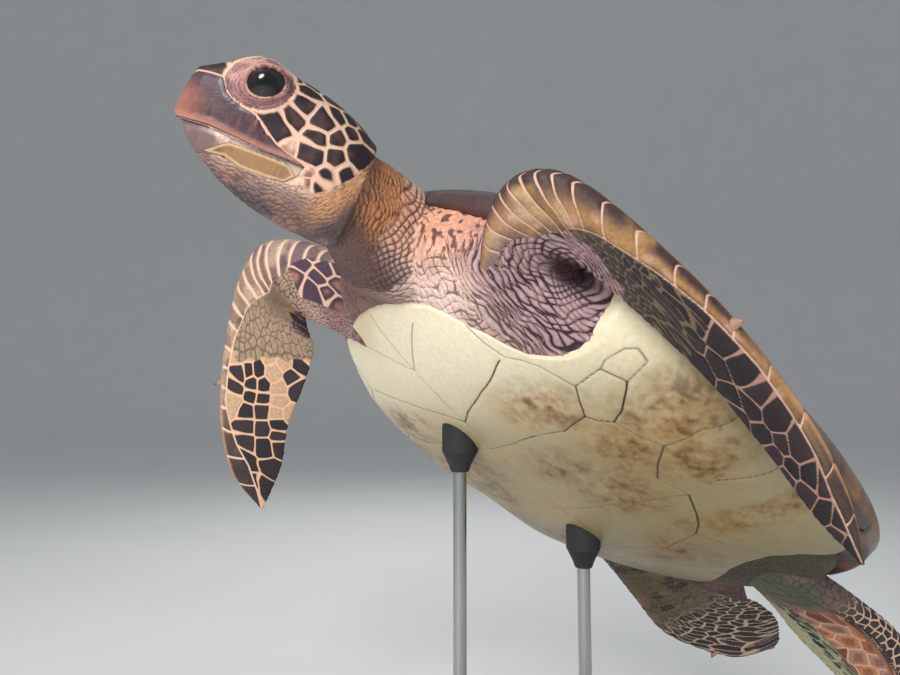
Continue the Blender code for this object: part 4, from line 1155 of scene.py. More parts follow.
def shape_lids(points, head):
    """Draws the skin in behind the eyeball in the opening, and raises a rounded rim round it."""
    opening, lid, up = eye_opening(head)
    for side in (1, -1):
        ball = to_world(head_to_body([(EYE_ALONG, side * EYE_SIDE, EYE_UP)]))[0]
        open_ = np.where(head[:, 1] * side > 0, opening, 9)
        away = points - ball
        reach = np.linalg.norm(away, axis=1)
        radius = EYE_RADIUS * SHELL
        rim = radius + (0.9 + 1.7 * ramp(up, -0.1, 0.8)) * MM
        inner = radius - 3 * MM
        tucked = inner + (rim - inner) * ramp(open_, 0.90, 1.05)
        cushion = reach + (rim - reach) * ramp(lid, 0.40, 0.0) + 0.8 * MM * bump(lid, 0.30, 0.25)
        wanted = np.where(open_ < 1.05, tucked, cushion)
        near = (open_ < 1.05) | ((lid < 1) & (open_ < 8))
        points = np.where(near[:, None], ball + away * (wanted / np.maximum(reach, 1e-9))[:, None], points)
    return points


def make_skin():
    lofts = flesh_lofts()
    mesh = fused_skin(lofts)
    points, edges = points_of(mesh), edges_of(mesh)
    points = relax(points, edges, 3, 0.5)
    owner, fields = loft_map(lofts, points)
    set_points(mesh, points)
    normals = normals_of(mesh)
    body = to_body(points)
    head = body_to_head(body)
    looks = Looks(len(points))
    for number, name in enumerate(REGIONS):
        where = np.flatnonzero(owner == number)
        place = points[where]
        if name.startswith("front"):
            front_limb(looks, where, fields, body[where], place, name.endswith("left"))
        elif name.startswith("rear"):
            rear_limb(looks, where, fields, place, name.endswith("left"))
        elif name == "neck":
            neck_skin(looks, where, fields, body[where], place)
        elif name == "head":
            head_skin(looks, where, head[where], place)
        elif name == "shoulders":
            paint_front(looks, where, body[where], place)
        else:
            rear_skin(looks, where, body[where], place)
    on_head = owner == REGIONS.index("head")
    upper, lower = beak_outlines(head[:, [0, 2]])
    horn = np.where(on_head, np.maximum(upper, lower), -20)
    relief = np.where(horn > 0, 0, looks.relief) - 1.5 * ramp(horn, -0.3, 1.2) - 2.8 * ramp(horn, 1.2, 4.0)
    points = points + normals * (relief * MM)[:, None]
    points = np.where(on_head[:, None], shape_lids(points, head), points)
    set_points(mesh, points)
    add_colour(mesh, "tint", looks.tint)
    add_colour(mesh, "line_tint", looks.line_tint)
    add_field(mesh, "line", looks.line)
    add_field(mesh, "half", looks.half)
    skin = piece("skin", mesh, skin_material())
    flesh = ["shoulders", "hips", "neck", "head", "tail"]
    flesh += [f"{part}_{side}" for part in ("front_arm", "front_flipper", "rear_thigh", "rear_flipper")
              for side in ("left", "right")]
    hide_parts(*flesh)


# ---------------------------------------------------------------- carapace and plastron
VERTEBRALS = [(0.40, 0.0, 0.01), (0.22, 0.0, 0.03), (0.02, 0.0, 0.04), (-0.18, 0.0, 0.03), (-0.36, 0.0, 0.01)]
COSTALS = [(0.31, 0.24, 0.01), (0.12, 0.24, 0.04), (-0.08, 0.24, 0.04), (-0.28, 0.20, 0.01)]
MARGINAL_WIDTH = 0.058
MARGINALS = 12  # on each side


def carapace_rings(count, around):
    """A dome, a rounded rim and a flat underside."""
    angles = np.linspace(0, math.pi, around)
    edge = np.linspace(0, math.pi, 14)[1:]
    rings = []
    for s in cosine_steps(0.002, 0.998, count):
        width, rim, top = shell_half_width(s), rim_height(s), dome_height(s)
        across = width * np.cos(angles)
        up = rim + (top - rim) * np.sin(angles) ** dome_power(s)
        turn_y = width * (1 - 0.03 * (1 - np.cos(edge)) / 2)
        turn_z = rim - RIM_THICKNESS * (1 - np.cos(edge)) / 2
        under_y = np.linspace(-0.94, 0.94, 40) * width
        under_z = np.full(40, rim - RIM_THICKNESS)
        ring_y = np.concatenate([across, -turn_y, under_y, turn_y[::-1]])
        ring_z = np.concatenate([up, turn_z, under_z, turn_z[::-1]])
        rings.append(np.stack([np.full(len(ring_y), 0.5 - s), ring_y, ring_z], axis=1))
    return np.array(rings)


def rim_place(body):
    """Distance in from the shell's outline in plan, and share of the way round it from front to back."""
    s = cosine_steps(0.0, 1.0, 240)
    outline = np.stack([0.5 - s, shell_half_width(s)], axis=1)
    steps = np.linalg.norm(np.diff(outline, axis=0), axis=1)
    way = np.concatenate([[0], np.cumsum(steps)])
    plan = np.stack([body[:, 0], np.abs(body[:, 1])], axis=1)
    best, place = np.full(len(plan), 9.0), np.zeros(len(plan))
    for start, end, low, high in zip(outline, outline[1:], way, way[1:]):
        line = end - start
        share = np.clip((plan - start) @ line / (line @ line), 0, 1)
        gap = np.linalg.norm(plan - start - share[:, None] * line, axis=1)
        closer = gap < best
        best = np.where(closer, gap, best)
        place = np.where(closer, low + share * (high - low), place)
    return best, place / way[-1]


def make_carapace():
    scale = 1
    points, faces = closed_grid(to_world(carapace_rings(int(320 * scale), int(240 * scale))))
    mesh = mesh_from("carapace plates", points, faces)
    points = points_of(mesh)
    normals = normals_of(mesh)
    body = to_body(points)
    side = np.stack([body[:, 0], np.abs(body[:, 1])], axis=1)
    shaken = side + (np.stack([noise(points, 0.03, k) for k in (3, 4)], axis=1) - 0.5) * 0.01
    seeds = np.array(VERTEBRALS + COSTALS)
    line, number, reach = seeded_cells(shaken, seeds[:, :2], seeds[:, 2])
    inward, round_ = rim_place(body)
    step = round_ * MARGINALS
    marginal = inward < MARGINAL_WIDTH
    across = np.abs(step - np.round(step)) / MARGINALS * 1.45
    line = np.where(marginal, np.minimum(across, MARGINAL_WIDTH - inward), np.minimum(line, inward - MARGINAL_WIDTH))
    line = np.abs(line) * SHELL / MM
    upward = ramp(body[:, 2] - rim_height(0.5 - body[:, 0]), -0.012, -0.004)
    angle = np.arctan2(body[:, 1], body[:, 0] - seeds[number, 0] + 0.05)
    rays = noise(np.stack([angle * 3.5, number * 5.0, reach * 4], axis=1), 0.16, 19)
    tint = mix(np.tile(srgb(78, 50, 34), (len(points), 1)), srgb(166, 118, 64), ramp(rays, 0.50, 0.85) * 0.7)
    tint = mix(tint, srgb(52, 36, 28), ramp(noise(points, 0.035, 21), 0.55, 0.75) * 0.7)
    tint = mix(tint, srgb(112, 72, 42), marginal * 0.35)
    amber = ramp(noise(points, 0.018, 22), 0.50, 0.80) * 0.7
    below = mix(np.tile(srgb(60, 42, 40), (len(points), 1)), srgb(122, 76, 42), amber)
    pale = ramp(inward, 0.045, 0.085) * ramp(body[:, 0], 0.33, 0.20)
    below = mix(below, srgb(206, 190, 150), pale)
    tint = mix(tint, below, 1 - upward)
    tint = mix(tint, srgb(62, 42, 46), ramp(body[:, 0], 0.36, 0.44) * 0.8)
    line = np.where(upward > 0.5, line, np.where(inward < MARGINAL_WIDTH, across * SHELL / MM, 20))
    relief = (ramp(line, 0, 2.8) - 1) * 0.9
    set_points(mesh, points + normals * (relief * MM)[:, None])
    add_colour(mesh, "tint", tint)
    add_colour(mesh, "line_tint", np.tile(srgb(30, 20, 16), (len(points), 1)))
    add_field(mesh, "line", line)
    add_field(mesh, "half", np.full(len(points), 1.0))
    shell = piece("carapace_plates", mesh, horn_material("carapace", 0.34, 0.35))
    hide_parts("carapace")


# Outline of the plastron's half in plan, out from its own midline, from front to back.
PLASTRON_HALF = [
    (0.400, 0.0), (0.397, 0.05), (0.386, 0.10), (0.368, 0.145), (0.345, 0.170), (0.320, 0.190),
    (0.300, 0.210), (0.282, 0.222), (0.265, 0.236), (0.250, 0.250), (0.238, 0.275), (0.230, 0.300),
    (0.230, 0.330), (0.236, 0.352), (0.250, 0.370), (0.270, 0.450), (-0.380, 0.450), (-0.330, 0.360),
    (-0.280, 0.330), (-0.242, 0.300), (-0.232, 0.260), (-0.248, 0.210), (-0.275, 0.165), (-0.305, 0.130),
    (-0.340, 0.090), (-0.372, 0.050), (-0.395, 0.0),
]
MIDLINE_DRIFT = 0.045  # the plates' midline wanders this far to the right in front


def plastron_outline():
    return PLASTRON_HALF + [(x, -y) for x, y in PLASTRON_HALF[-2:0:-1]]


def plastron_plan(body):
    """Plan of the belly with its midline drawn straight."""
    drift = -MIDLINE_DRIFT * ramp(body[:, 0], -0.35, 0.10)
    return np.stack([body[:, 0], body[:, 1] - drift], axis=1)


# Lines between the plastron's plates on its left half, out from its midline, and how dark each is.
PLASTRON_LINES = [
    (1.0, [(0.260, 0.195), (0.235, 0.145), (0.215, 0.100), (0.185, 0.040), (0.160, 0.0)]),
    (0.5, [(0.360, 0.090), (0.330, 0.050), (0.285, 0.0)]),
    (0.5, [(0.335, 0.185), (0.290, 0.197), (0.262, 0.208), (0.250, 0.230), (0.235, 0.250), (0.188, 0.274)]),
    (0.8, [(0.188, 0.274), (0.167, 0.263), (0.135, 0.249)]),
    (1.0, [(0.135, 0.249), (0.127, 0.224), (0.114, 0.190), (0.112, 0.133), (0.107, 0.100)]),
    (0.5, [(0.107, 0.100), (0.098, 0.053), (0.092, 0.0)]),
    (1.0, [(0.135, 0.249), (0.125, 0.259), (0.116, 0.282), (0.131, 0.306), (0.155, 0.330), (0.171, 0.346)]),
    (0.6, [(0.171, 0.346), (0.182, 0.340), (0.202, 0.328), (0.198, 0.310), (0.192, 0.288), (0.188, 0.274)]),
    (0.5, [(0.202, 0.328), (0.210, 0.341), (0.212, 0.365), (0.204, 0.377), (0.184, 0.380), (0.171, 0.346)]),
    (0.4, [(0.116, 0.282), (0.099, 0.290), (0.079, 0.301), (0.057, 0.319)]),
    (0.7, [(0.057, 0.319), (0.023, 0.287), (-0.008, 0.262)]),
    (0.5, [(0.057, 0.319), (0.061, 0.348), (0.068, 0.379), (0.055, 0.413)]),
    (0.3, [(-0.008, 0.262), (-0.050, 0.275)]),
    (0.8, [(-0.050, 0.275), (-0.100, 0.247), (-0.125, 0.230), (-0.150, 0.205)]),
    (0.7, [(-0.030, 0.330), (-0.045, 0.365), (-0.057, 0.385)]),
    (0.3, [(-0.050, 0.275), (-0.060, 0.150), (-0.075, 0.0)]),
    (0.4, [(-0.150, 0.205), (-0.190, 0.120), (-0.200, 0.0)]),
    (0.4, [(-0.150, 0.205), (-0.190, 0.230), (-0.232, 0.270)]),
    (0.4, [(-0.300, 0.130), (-0.310, 0.0)]),
    (0.25, [(0.400, 0.0), (0.160, 0.0), (0.0, 0.0), (-0.200, 0.0), (-0.395, 0.0)]),
]
# Brown stains: middle in plan, and reach along and across.
STAINS = [
    (0.100, 0.365, 0.050, 0.060), (0.165, 0.190, 0.040, 0.060), (0.060, 0.260, 0.040, 0.050),
    (0.020, 0.340, 0.040, 0.060), (-0.030, 0.165, 0.045, 0.060), (-0.130, 0.310, 0.022, 0.110),
    (0.030, 0.110, 0.040, 0.050), (-0.210, 0.120, 0.040, 0.050),
]


def line_distance(points, lines):
    """Distance to the nearest line and how dark that line is."""
    best, strength = np.full(len(points), 9.0), np.zeros(len(points))
    for dark, line in lines:
        for start, end in zip(np.array(line), np.array(line)[1:]):
            way = end - start
            share = np.clip((points - start) @ way / (way @ way), 0, 1)
            gap = np.linalg.norm(points - start - share[:, None] * way, axis=1)
            strength = np.where(gap < best, dark, strength)
            best = np.minimum(best, gap)
    return best, strength


def make_plastron():
    """The belly's plates: their surface dives under the flesh along the outline."""
    scale = 1
    high = belly_rings(int(480 * scale), int(360 * scale))
    low = belly_rings(int(480 * scale), int(360 * scale), 0.90)
    plan = plastron_plan(high.reshape(-1, 3))
    edge = inside_outline(plan, plastron_outline()) * SHELL / MM
    keep = ramp(edge, -3.5, 0.5)[:, None]
    rings = (low.reshape(-1, 3) + (high - low).reshape(-1, 3) * keep).reshape(high.shape)
    points, faces = closed_grid(to_world(rings))
    mesh = mesh_from("plastron plates", points, faces)
    points = points_of(mesh)
    normals = normals_of(mesh)
    body = to_body(points)
    shaken = np.abs(plastron_plan(body) * np.array([0, 1])) + body[:, :1] * np.array([1, 0])
    shaken = shaken + (np.stack([noise(points, 0.03, k) for k in (3, 4)], axis=1) - 0.5) * 0.006
    shaken = shaken + (np.stack([noise(points, 0.008, k) for k in (5, 6)], axis=1) - 0.5) * 0.0015
    line, strength = line_distance(shaken, PLASTRON_LINES)
    line = line * SHELL / MM
    # lighter towards the front: the plates' cream, paled towards white as a painted highlight where the light fell
    fore = ramp(body[:, 0], 0.05, 0.33)
    tint = mix(np.tile(srgb(158, 142, 104), (len(points), 1)), srgb(238, 226, 194), fore)
    # darker towards the rear: painted shade
    tint = mix(tint, srgb(124, 112, 86), ramp(body[:, 0], -0.05, -0.30) * 0.6)
    tint = mix(tint, srgb(190, 152, 98), ramp(noise(points, 0.05, 35), 0.45, 0.8) * 0.35)
    stain = np.zeros(len(points))
    for x, y, long, wide in STAINS:
        reach = np.hypot((shaken[:, 0] - x) / long, (shaken[:, 1] - y) / wide)
        stain = np.maximum(stain, ramp(reach, 1.9, 0.3))
    mottle = noise(points, 0.011, 33) * 0.45 + noise(points, 0.004, 34) * 0.35 + noise(points, 0.0016, 36) * 0.2
    tint = mix(tint, srgb(140, 100, 52), stain * ramp(mottle, 0.26, 0.56) * 0.72)
    tint = mix(tint, srgb(70, 52, 34), stain * ramp(mottle, 0.53, 0.72) * 0.72)
    relief = (ramp(line, 0, 2.2) - 1) * 0.6 * strength
    set_points(mesh, points + normals * (relief * MM)[:, None])
    add_colour(mesh, "tint", tint)
    add_colour(mesh, "line_tint", mix(tint, srgb(60, 50, 42), np.minimum(1.15 * strength, 1)))
    add_field(mesh, "line", line)
    add_field(mesh, "half", np.full(len(points), 0.75))
    plates = piece("plastron_plates", mesh, horn_material("plastron", 0.42, 0.2, 0.07))
    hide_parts("plastron")


# ---------------------------------------------------------------- beak, eyes and claws
def make_beak(name, upper):
    """One half of the horn on the jaws, cut from the head's own surface, with rounded edges."""
    scale = 1
    rings = head_rings(int(320 * scale), int(340 * scale))
    flat = np.vstack([rings.reshape(-1, 3), rings[0].mean(axis=0), rings[-1].mean(axis=0)])
    edge = beak_outlines(flat[:, [0, 2]])[0 if upper else 1]
    points, faces = closed_grid(to_world(head_to_body(rings)))
    mesh = bpy.data.meshes.new(name)
    mesh.from_pydata(points.tolist(), [], faces)
    work = bmesh.new()
    work.from_mesh(mesh)
    bmesh.ops.recalc_face_normals(work, faces=work.faces)
    if work.calc_volume(signed=True) < 0:
        bmesh.ops.reverse_faces(work, faces=work.faces)
    work.to_mesh(mesh)
    work.free()
    normals = normals_of(mesh)
    head = body_to_head(to_body(points))
    level = head[:, 2] - np.interp(head[:, 0], MOUTH_ALONG, MOUTH_UP)
    front = ramp(head[:, 0], 0.11, 0.03)
    proud = 0.35 - 2.6 * ramp(edge, 0.5, -1.6)
    proud += (0.9 if upper else -2.6) * front * bump(level, 0.0, 0.012)
    nostril = np.linalg.norm((on_left(head) - np.array([0.022, 0.012, 0.052])) * SHELL / MM, axis=1)
    if upper:
        proud = proud - 2.2 * ramp(nostril, 2.0, 0.6)
        proud = proud - 0.35 * ramp(edge, 2.2, 1.0) * ramp(edge, 0.2, 1.0)
    set_points(mesh, points + normals * (proud * MM)[:, None])
    tint = upper_horn_tint(head, level, nostril) if upper else lower_horn_tint(head, level)
    add_colour(mesh, "tint", tint)
    add_colour(mesh, "line_tint", np.tile(srgb(60, 40, 36), (len(points), 1)))
    add_field(mesh, "line", np.full(len(points), 20.0))
    add_field(mesh, "half", np.full(len(points), 0.5))
    work = bmesh.new()
    work.from_mesh(mesh)
    doomed = [v for v, far in zip(list(work.verts), edge) if far < -1.9]
    bmesh.ops.delete(work, geom=doomed, context="VERTS")
    work.to_mesh(mesh)
    work.free()
    horn = piece(f"{name}_horn", mesh, horn_material(name, 0.36, 0.3, 0.10))
    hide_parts(name)


def streaks(head, width, salt):
    """Streaks that run up and down the horn."""
    place = np.stack([head[:, 0], np.abs(head[:, 1]) * 0.4, head[:, 2] * 0.10], axis=1) * SHELL
    return noise(place, width, salt) * 0.6 + noise(place, width * 0.4, salt + 1) * 0.4


def upper_horn_tint(head, level, nostril):
    streak = ramp(streaks(head, 0.003, 41), 0.42, 0.75)
    tint = mix(np.tile(srgb(66, 42, 46), (len(head), 1)), srgb(112, 74, 70), streak * 0.45)
    tint = mix(tint, srgb(112, 80, 84), ramp(head[:, 0], 0.10, 0.15) * 0.6)
    tint = mix(tint, srgb(64, 44, 58), ramp(head[:, 2] - 0.12 * head[:, 0], 0.018, 0.040) * 0.8)
    tint = mix(tint, srgb(164, 102, 84), ramp(head[:, 0], 0.040, 0.006) * ramp(head[:, 2], 0.055, 0.02) * 0.75)
    tint = mix(tint, srgb(190, 132, 110), ramp(level, 0.011, 0.002) * 0.6)
    tint = mix(tint, srgb(84, 54, 48), ramp(level, 0.0020, 0.0002))
    return mix(tint, srgb(26, 18, 20), ramp(nostril, 2.4, 1.2))


# Outline of the ochre plate on the side of the lower beak: back from the tip, up from the mouth.
CHEEK_PLATE = [
    (0.047, -0.027), (0.057, -0.0195), (0.0665, -0.0115), (0.073, -0.0075), (0.091, -0.0058), (0.118, -0.0045),
    (0.142, -0.0035), (0.1545, -0.013), (0.145, -0.0240), (0.123, -0.0270), (0.093, -0.0285), (0.073, -0.0238),
    (0.058, -0.0262),
]


def lower_horn_tint(head, level):
    within = inside_outline(head[:, [0, 2]], CHEEK_PLATE) * SHELL / MM
    streak = ramp(streaks(head, 0.004, 43), 0.45, 0.8)
    ochre = mix(np.tile(srgb(146, 106, 70), (len(head), 1)), srgb(92, 66, 50), streak * 0.7)
    ochre = mix(ochre, srgb(206, 176, 134), ramp(within, 2.2, 1.0) * 0.7)
    front = mix(np.tile(srgb(116, 92, 88), (len(head), 1)), srgb(146, 118, 110), streak * 0.5)
    rest = mix(np.tile(srgb(188, 158, 140), (len(head), 1)), srgb(120, 92, 84), ramp(streaks(head, 0.002, 44), 0.5, 0.7) * 0.5)
    tint = mix(front, rest, ramp(head[:, 0] + 0.9 * (head[:, 2] + 0.012), 0.058, 0.064))
    tint = np.where((within > 0)[:, None], ochre, tint)
    tint = mix(tint, srgb(74, 52, 46), bump(within, 0.0, 0.5) * 0.8)
    # a dark band just under the mouth's line: painted shade under the upper beak's overhang
    return mix(tint, srgb(52, 34, 34), ramp(level, -0.0055, -0.0010))


def make_eyes():
    """A dark wet ball with a slight swelling over its pupil."""
    for name, side in (("left", 1), ("right", -1)):
        ball = to_world(head_to_body([(EYE_ALONG, side * EYE_SIDE, EYE_UP)]))[0]
        aim = to_world(head_to_body([EYE_MIDDLE * np.array([1, side, 1])]))[0] - ball
        aim = unit(aim)
        work = bmesh.new()
        bmesh.ops.create_icosphere(work, subdivisions=6, radius=1)
        mesh = bpy.data.meshes.new(f"eyeball {name}")
        work.to_mesh(mesh)
        work.free()
        points = points_of(mesh)
        facing = points @ aim
        radius = EYE_RADIUS * SHELL - 0.15 * MM + 0.9 * MM * ramp(facing, 0.80, 1.0)
        set_points(mesh, ball + points * radius[:, None])
        add_field(mesh, "facing", facing)
        eye = piece(f"eyeball_{name}", mesh, eye_material())
        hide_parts(f"eye_{name}")


def make_claws():
    """Short hooked cones on the leading edges."""
    limbs = (
        ("front_claw_left", FRONT_LEFT, CLAW_PLACE), ("front_claw_right", FRONT_RIGHT, CLAW_PLACE),
        ("rear_claw_left", REAR_LEFT, REAR_CLAW_PLACE), ("rear_claw_right", REAR_RIGHT, REAR_CLAW_PLACE),
    )
    length = 0.016
    for name, limb, share in limbs:
        middle, chord, normal, _ = (row[0] for row in limb_frames(limb, [share]))
        after = limb_frames(limb, [share + 0.05])[0][0]
        out, back = unit(chord), unit(after - middle)
        root = middle + chord * 0.97
        rings = []
        for part in np.linspace(0, 1, 40):
            centre = root - out * 0.010 + out * (0.010 + length) * part + back * length * 0.6 * part**2
            radius = 0.0085 * (1 - part) ** 0.7 + 0.0012 * (1 - part**6)
            angles = np.arange(32) * 2 * math.pi / 32
            ring = [centre + radius * (back * math.cos(a) + normal * 0.8 * math.sin(a)) for a in angles]
            rings.append(ring)
        points, faces = closed_grid(to_world(rings))
        mesh = mesh_from(name, points, faces)
        count = len(mesh.vertices)
        reach = (to_body(points_of(mesh)) - root) @ out / length
        tint = mix(np.tile(srgb(176, 132, 108), (count, 1)), srgb(96, 66, 52), ramp(reach, 0.3, 1.0))
        add_colour(mesh, "tint", tint)
        add_colour(mesh, "line_tint", tint)
        add_field(mesh, "line", np.full(count, 20.0))
        add_field(mesh, "half", np.full(count, 0.5))
        claw = piece(f"{name}_horn", mesh, horn_material("claw", 0.36, 0.2))
        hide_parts(name)


# ---------------------------------------------------------------- materials
class Nodes:
    """Short ways to add and join the nodes of one material."""

    def __init__(self, name):
        self.material = bpy.data.materials.new(name)
        self.material.use_nodes = True
        self.tree = self.material.node_tree
        self.shader = self.tree.nodes["Principled BSDF"]

    def add(self, kind, **settings):
        node = self.tree.nodes.new(f"ShaderNode{kind}")
        for key, value in settings.items():
            setattr(node, key, value)
        return node

    def put(self, socket, value):
        if isinstance(value, bpy.types.NodeSocket):
            self.tree.links.new(value, socket)
        else:
            socket.default_value = value

    def math(self, operation, first, second=0.0):
        node = self.add("Math", operation=operation)
        self.put(node.inputs[0], first)
        self.put(node.inputs[1], second)
        return node.outputs[0]

    def field(self, name):
        return self.add("Attribute", attribute_name=name)

    def noise(self, scale, detail=3.0, roughness=0.55, stretch=(1, 1, 1)):
        place = self.add("TexCoord").outputs["Object"]
        mapping = self.add("Mapping")
        mapping.inputs["Scale"].default_value = stretch
        self.put(mapping.inputs["Vector"], place)
        node = self.add("TexNoise")
        node.inputs["Scale"].default_value = scale
        node.inputs["Detail"].default_value = detail
        node.inputs["Roughness"].default_value = roughness
        self.put(node.inputs["Vector"], mapping.outputs[0])
        return node.outputs["Fac"]

    def pebbles(self, scale, feature="F1"):
        node = self.add("TexVoronoi", feature=feature)
        node.inputs["Scale"].default_value = scale
        self.put(node.inputs["Vector"], self.add("TexCoord").outputs["Object"])
        return node.outputs["Distance"]

    def span(self, value, low, high, to_low=0.0, to_high=1.0):
        node = self.add("MapRange", interpolation_type="SMOOTHSTEP")
        for socket, number in zip(node.inputs, (value, low, high, to_low, to_high)):
            self.put(socket, number)
        return node.outputs[0]

    def mix(self, share, first, second, blend="MIX"):
        node = self.add("Mix", data_type="RGBA", blend_type=blend)
        self.put(node.inputs[0], share)
        self.put(node.inputs[6], first)
        self.put(node.inputs[7], second)
        return node.outputs[2]

    def bump(self, height, distance, strength=1.0, before=None):
        node = self.add("Bump")
        node.inputs["Distance"].default_value = distance
        node.inputs["Strength"].default_value = strength
        self.put(node.inputs["Height"], height)
        if before is not None:
            self.put(node.inputs["Normal"], before)
        return node.outputs[0]


def colour4(red, green, blue):
    return (*srgb(red, green, blue), 1)


def lined_colour(nodes, mottle_scale, mottle):
    """The surface's own colour with fine mottling, and the lines between its plates over it."""
    tint = nodes.field("tint").outputs["Color"]
    speckle = nodes.span(nodes.noise(mottle_scale, 5.0, 0.65), 0.30, 0.72, 1 - mottle, 1 + mottle)
    shaded = nodes.mix(1.0, tint, speckle, "MULTIPLY")
    waver = nodes.math("MULTIPLY", nodes.math("SUBTRACT", nodes.noise(900.0, 2.0), 0.5), 0.5)
    distance = nodes.math("ADD", nodes.field("line").outputs["Fac"], waver)
    half = nodes.field("half").outputs["Fac"]
    on_line = nodes.span(
        distance, nodes.math("MULTIPLY", half, 0.55), nodes.math("MULTIPLY", half, 1.45), 1.0, 0.0
    )
    return nodes.mix(on_line, shaded, nodes.field("line_tint").outputs["Color"]), on_line


def skin_material():
    """Damp skin: the colours between its lines, a pebbled grain and fine creases."""
    nodes = Nodes("turtle skin")
    colour, on_line = lined_colour(nodes, 420.0, 0.20)
    nodes.put(nodes.shader.inputs["Base Color"], colour)
    grain = nodes.math("MULTIPLY", nodes.pebbles(1400.0), -1.0)
    rough = nodes.span(nodes.noise(260.0), 0.3, 0.7, 0.46, 0.64)
    nodes.put(nodes.shader.inputs["Roughness"], rough)
    normal = nodes.bump(grain, 0.00012, 0.7)
    normal = nodes.bump(nodes.noise(700.0, 6.0, 0.7), 0.00022, 0.6, normal)
    nodes.put(nodes.shader.inputs["Normal"], normal)
    nodes.shader.inputs["Specular IOR Level"].default_value = 0.42
    nodes.shader.inputs["Subsurface Weight"].default_value = 0.06
    nodes.shader.inputs["Subsurface Radius"].default_value = (0.004, 0.002, 0.0012)
    nodes.shader.inputs["Subsurface Scale"].default_value = 1.0
    return nodes.material


def horn_material(name, roughness, coat, mottle=0.14):
    """Horn plates: streaked colour, fine growth lines and a thin gloss."""
    nodes = Nodes(f"{name} horn")
    colour, on_line = lined_colour(nodes, 240.0, mottle)
    nodes.put(nodes.shader.inputs["Base Color"], colour)
    rough = nodes.span(nodes.noise(120.0, 4.0), 0.3, 0.7, roughness - 0.06, roughness + 0.12)
    nodes.put(nodes.shader.inputs["Roughness"], rough)
    normal = nodes.bump(nodes.noise(90.0, 6.0, 0.6, (1, 1, 5)), 0.0004, 0.5)
    normal = nodes.bump(nodes.noise(900.0, 3.0), 0.00012, 0.5, normal)
    nodes.put(nodes.shader.inputs["Normal"], normal)
    nodes.shader.inputs["Coat Weight"].default_value = coat
    nodes.shader.inputs["Coat Roughness"].default_value = 0.3
    return nodes.material


def eye_material():
    """A wet, nearly black eye with a faint brown iris round a black pupil."""
    nodes = Nodes("eye")
    facing = nodes.field("facing").outputs["Fac"]
    fibres = nodes.noise(1500.0, 4.0)
    iris = nodes.mix(fibres, colour4(15, 10, 9), colour4(32, 21, 16))
    within = nodes.span(facing, 0.62, 0.80)
    pupil = nodes.span(facing, 0.90, 0.93)
    colour = nodes.mix(within, colour4(12, 9, 9), iris)
    colour = nodes.mix(pupil, colour, colour4(4, 4, 5))
    nodes.put(nodes.shader.inputs["Base Color"], colour)
    nodes.shader.inputs["Roughness"].default_value = 0.14
    nodes.shader.inputs["Coat Weight"].default_value = 0.35
    nodes.shader.inputs["Coat Roughness"].default_value = 0.03
    return nodes.material


def steel_material():
    nodes = Nodes("brushed steel")
    brushed = nodes.noise(120.0, 4.0, 0.6, (1, 1, 0.04))
    nodes.put(nodes.shader.inputs["Base Color"], nodes.mix(brushed, colour4(150, 150, 152), colour4(196, 196, 198)))
    nodes.put(nodes.shader.inputs["Roughness"], nodes.span(brushed, 0.3, 0.7, 0.22, 0.38))
    nodes.put(nodes.shader.inputs["Normal"], nodes.bump(brushed, 0.00005, 0.6))
    nodes.shader.inputs["Metallic"].default_value = 1.0
    return nodes.material


def base_material():
    nodes = Nodes("powder coat")
    speck = nodes.noise(2200.0, 2.0)
    wide = nodes.noise(14.0, 3.0)
    nodes.put(nodes.shader.inputs["Base Color"], nodes.mix(wide, colour4(38, 38, 41), colour4(56, 56, 59)))
    nodes.put(nodes.shader.inputs["Roughness"], nodes.span(wide, 0.3, 0.7, 0.42, 0.56))
    nodes.put(nodes.shader.inputs["Normal"], nodes.bump(speck, 0.00008, 0.7))
    return nodes.material


def rubber_material():
    nodes = Nodes("cup lining")
    wide = nodes.noise(60.0, 3.0)
    nodes.put(nodes.shader.inputs["Base Color"], nodes.mix(wide, colour4(30, 30, 31), colour4(46, 45, 45)))
    nodes.put(nodes.shader.inputs["Roughness"], nodes.span(wide, 0.3, 0.7, 0.62, 0.78))
    nodes.put(nodes.shader.inputs["Normal"], nodes.bump(nodes.noise(1400.0, 2.0), 0.0001, 0.6))
    return nodes.material


def dress_stand():
    finishes = {
        "stand_base": base_material(), "stand_rod_front": steel_material(), "stand_rod_rear": steel_material(),
        "stand_cup_front": rubber_material(), "stand_cup_rear": rubber_material(),
    }
    for name, finish in finishes.items():
        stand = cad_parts[name]
        for slot in stand.material_slots:
            slot.material = finish


# ---------------------------------------------------------------- studio
CAMERA_PLACE = (0.37202, 0.47283, 0.41635)
CAMERA_RIGHT = (-0.88627, 0.46308, 0.0005)
CAMERA_UP = (0.04122, 0.07794, 0.99606)
LENS = 25.95


def make_camera():
    right, up = unit(CAMERA_RIGHT), unit(CAMERA_UP)
    back = unit(np.cross(right, up))
    up = np.cross(back, right)
    data = bpy.data.cameras.new("camera")
    data.lens = LENS
    data.sensor_width = 36
    data.clip_start = 0.01
    camera = bpy.data.objects.new("camera", data)
    matrix = np.eye(4)
    matrix[:3, 0], matrix[:3, 1], matrix[:3, 2], matrix[:3, 3] = right, up, back, CAMERA_PLACE
    camera.matrix_world = Matrix(matrix.tolist())
    bpy.context.scene.collection.objects.link(camera)
    bpy.context.scene.camera = camera


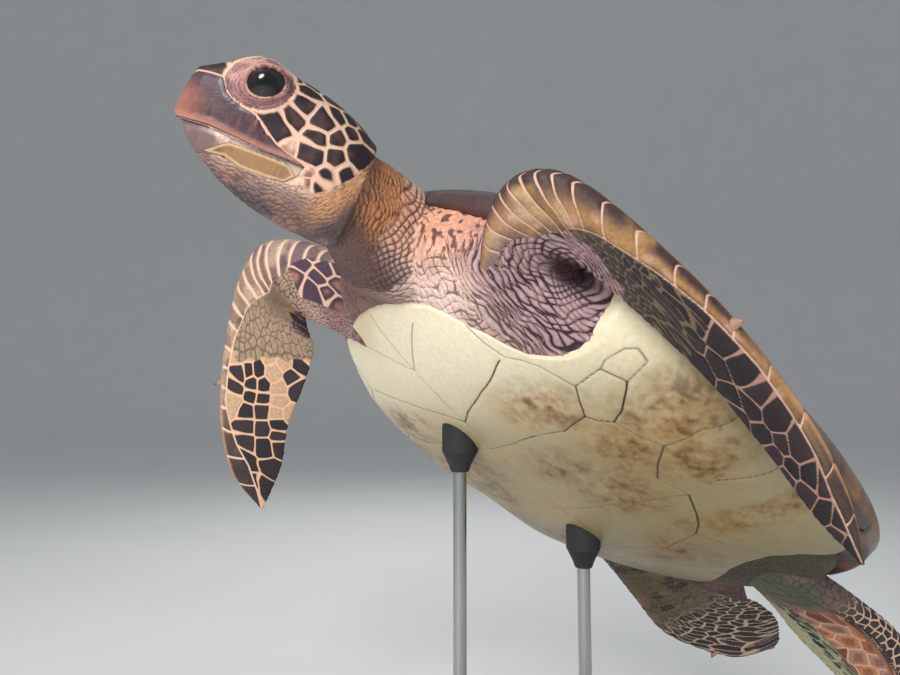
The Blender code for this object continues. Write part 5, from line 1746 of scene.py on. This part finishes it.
def make_floor():
    """A pale floor that sweeps up behind the model."""
    profile = [(-2.6, 0.0)] + [(6.0 + 3 * math.sin(a), 3 - 3 * math.cos(a)) for a in np.linspace(0, math.pi / 2, 24)]
    profile.append((9.0, 9.0))
    away = unit((-0.42, -0.88, 0))
    across = unit(np.cross(away, (0, 0, 1)))
    points, faces = [], []
    for distance, height in profile:
        for side in (-9, 9):
            points.append(away * distance + across * side + np.array([0, 0, height]))
    for k in range(len(profile) - 1):
        faces.append((2 * k, 2 * k + 1, 2 * k + 3, 2 * k + 2))
    mesh = bpy.data.meshes.new("floor")
    mesh.from_pydata([tuple(p) for p in points], [], faces)
    mesh.shade_smooth()
    nodes = Nodes("floor paper")
    grain = nodes.noise(3.0, 3.0)
    nodes.put(nodes.shader.inputs["Base Color"], nodes.mix(grain, colour4(214, 214, 212), colour4(222, 222, 220)))
    nodes.shader.inputs["Roughness"].default_value = 0.85
    mesh.materials.append(nodes.material)
    floor = bpy.data.objects.new("floor", mesh)
    bpy.context.scene.collection.objects.link(floor)


def make_light(name, place, target, size, power):
    data = bpy.data.lights.new(name, "AREA")
    data.shape = "DISK"
    data.size = size
    data.energy = power
    light = bpy.data.objects.new(name, data)
    light.location = place
    aim = np.asarray(target, float) - np.asarray(place, float)
    back = unit(-aim)
    right = unit(np.cross((0, 0, 1), back))
    matrix = np.eye(4)
    matrix[:3, 0], matrix[:3, 1], matrix[:3, 2], matrix[:3, 3] = right, np.cross(back, right), back, place
    light.matrix_world = Matrix(matrix.tolist())
    bpy.context.scene.collection.objects.link(light)
    return light


def make_studio():
    middle = (0.05, 0.0, 0.38)
    make_light("key", (1.55, 1.275, 1.685), middle, 1.05, 42)
    front = make_light("front", (0.85, 0.50, 0.30), (0.22, 0.05, 0.42), 0.5, 3.2)
    front.visible_glossy = False
    back = make_light("back", (-0.6, -1.4, 1.8), middle, 1.2, 18)
    back.visible_glossy = False
    world = bpy.data.worlds.new("studio")
    world.use_nodes = True
    world.node_tree.nodes["Background"].inputs[0].default_value = (0.84, 0.90, 0.95, 1)
    world.node_tree.nodes["Background"].inputs[1].default_value = 0.40
    bpy.context.scene.world = world
    bpy.context.scene.view_settings.view_transform = "Standard"


def main():
    make_skin()
    make_carapace()
    make_plastron()
    make_beak("upper_beak", True)
    make_beak("lower_beak", False)
    make_eyes()
    make_claws()
    dress_stand()
    make_floor()
    make_studio()
    make_camera()


main()
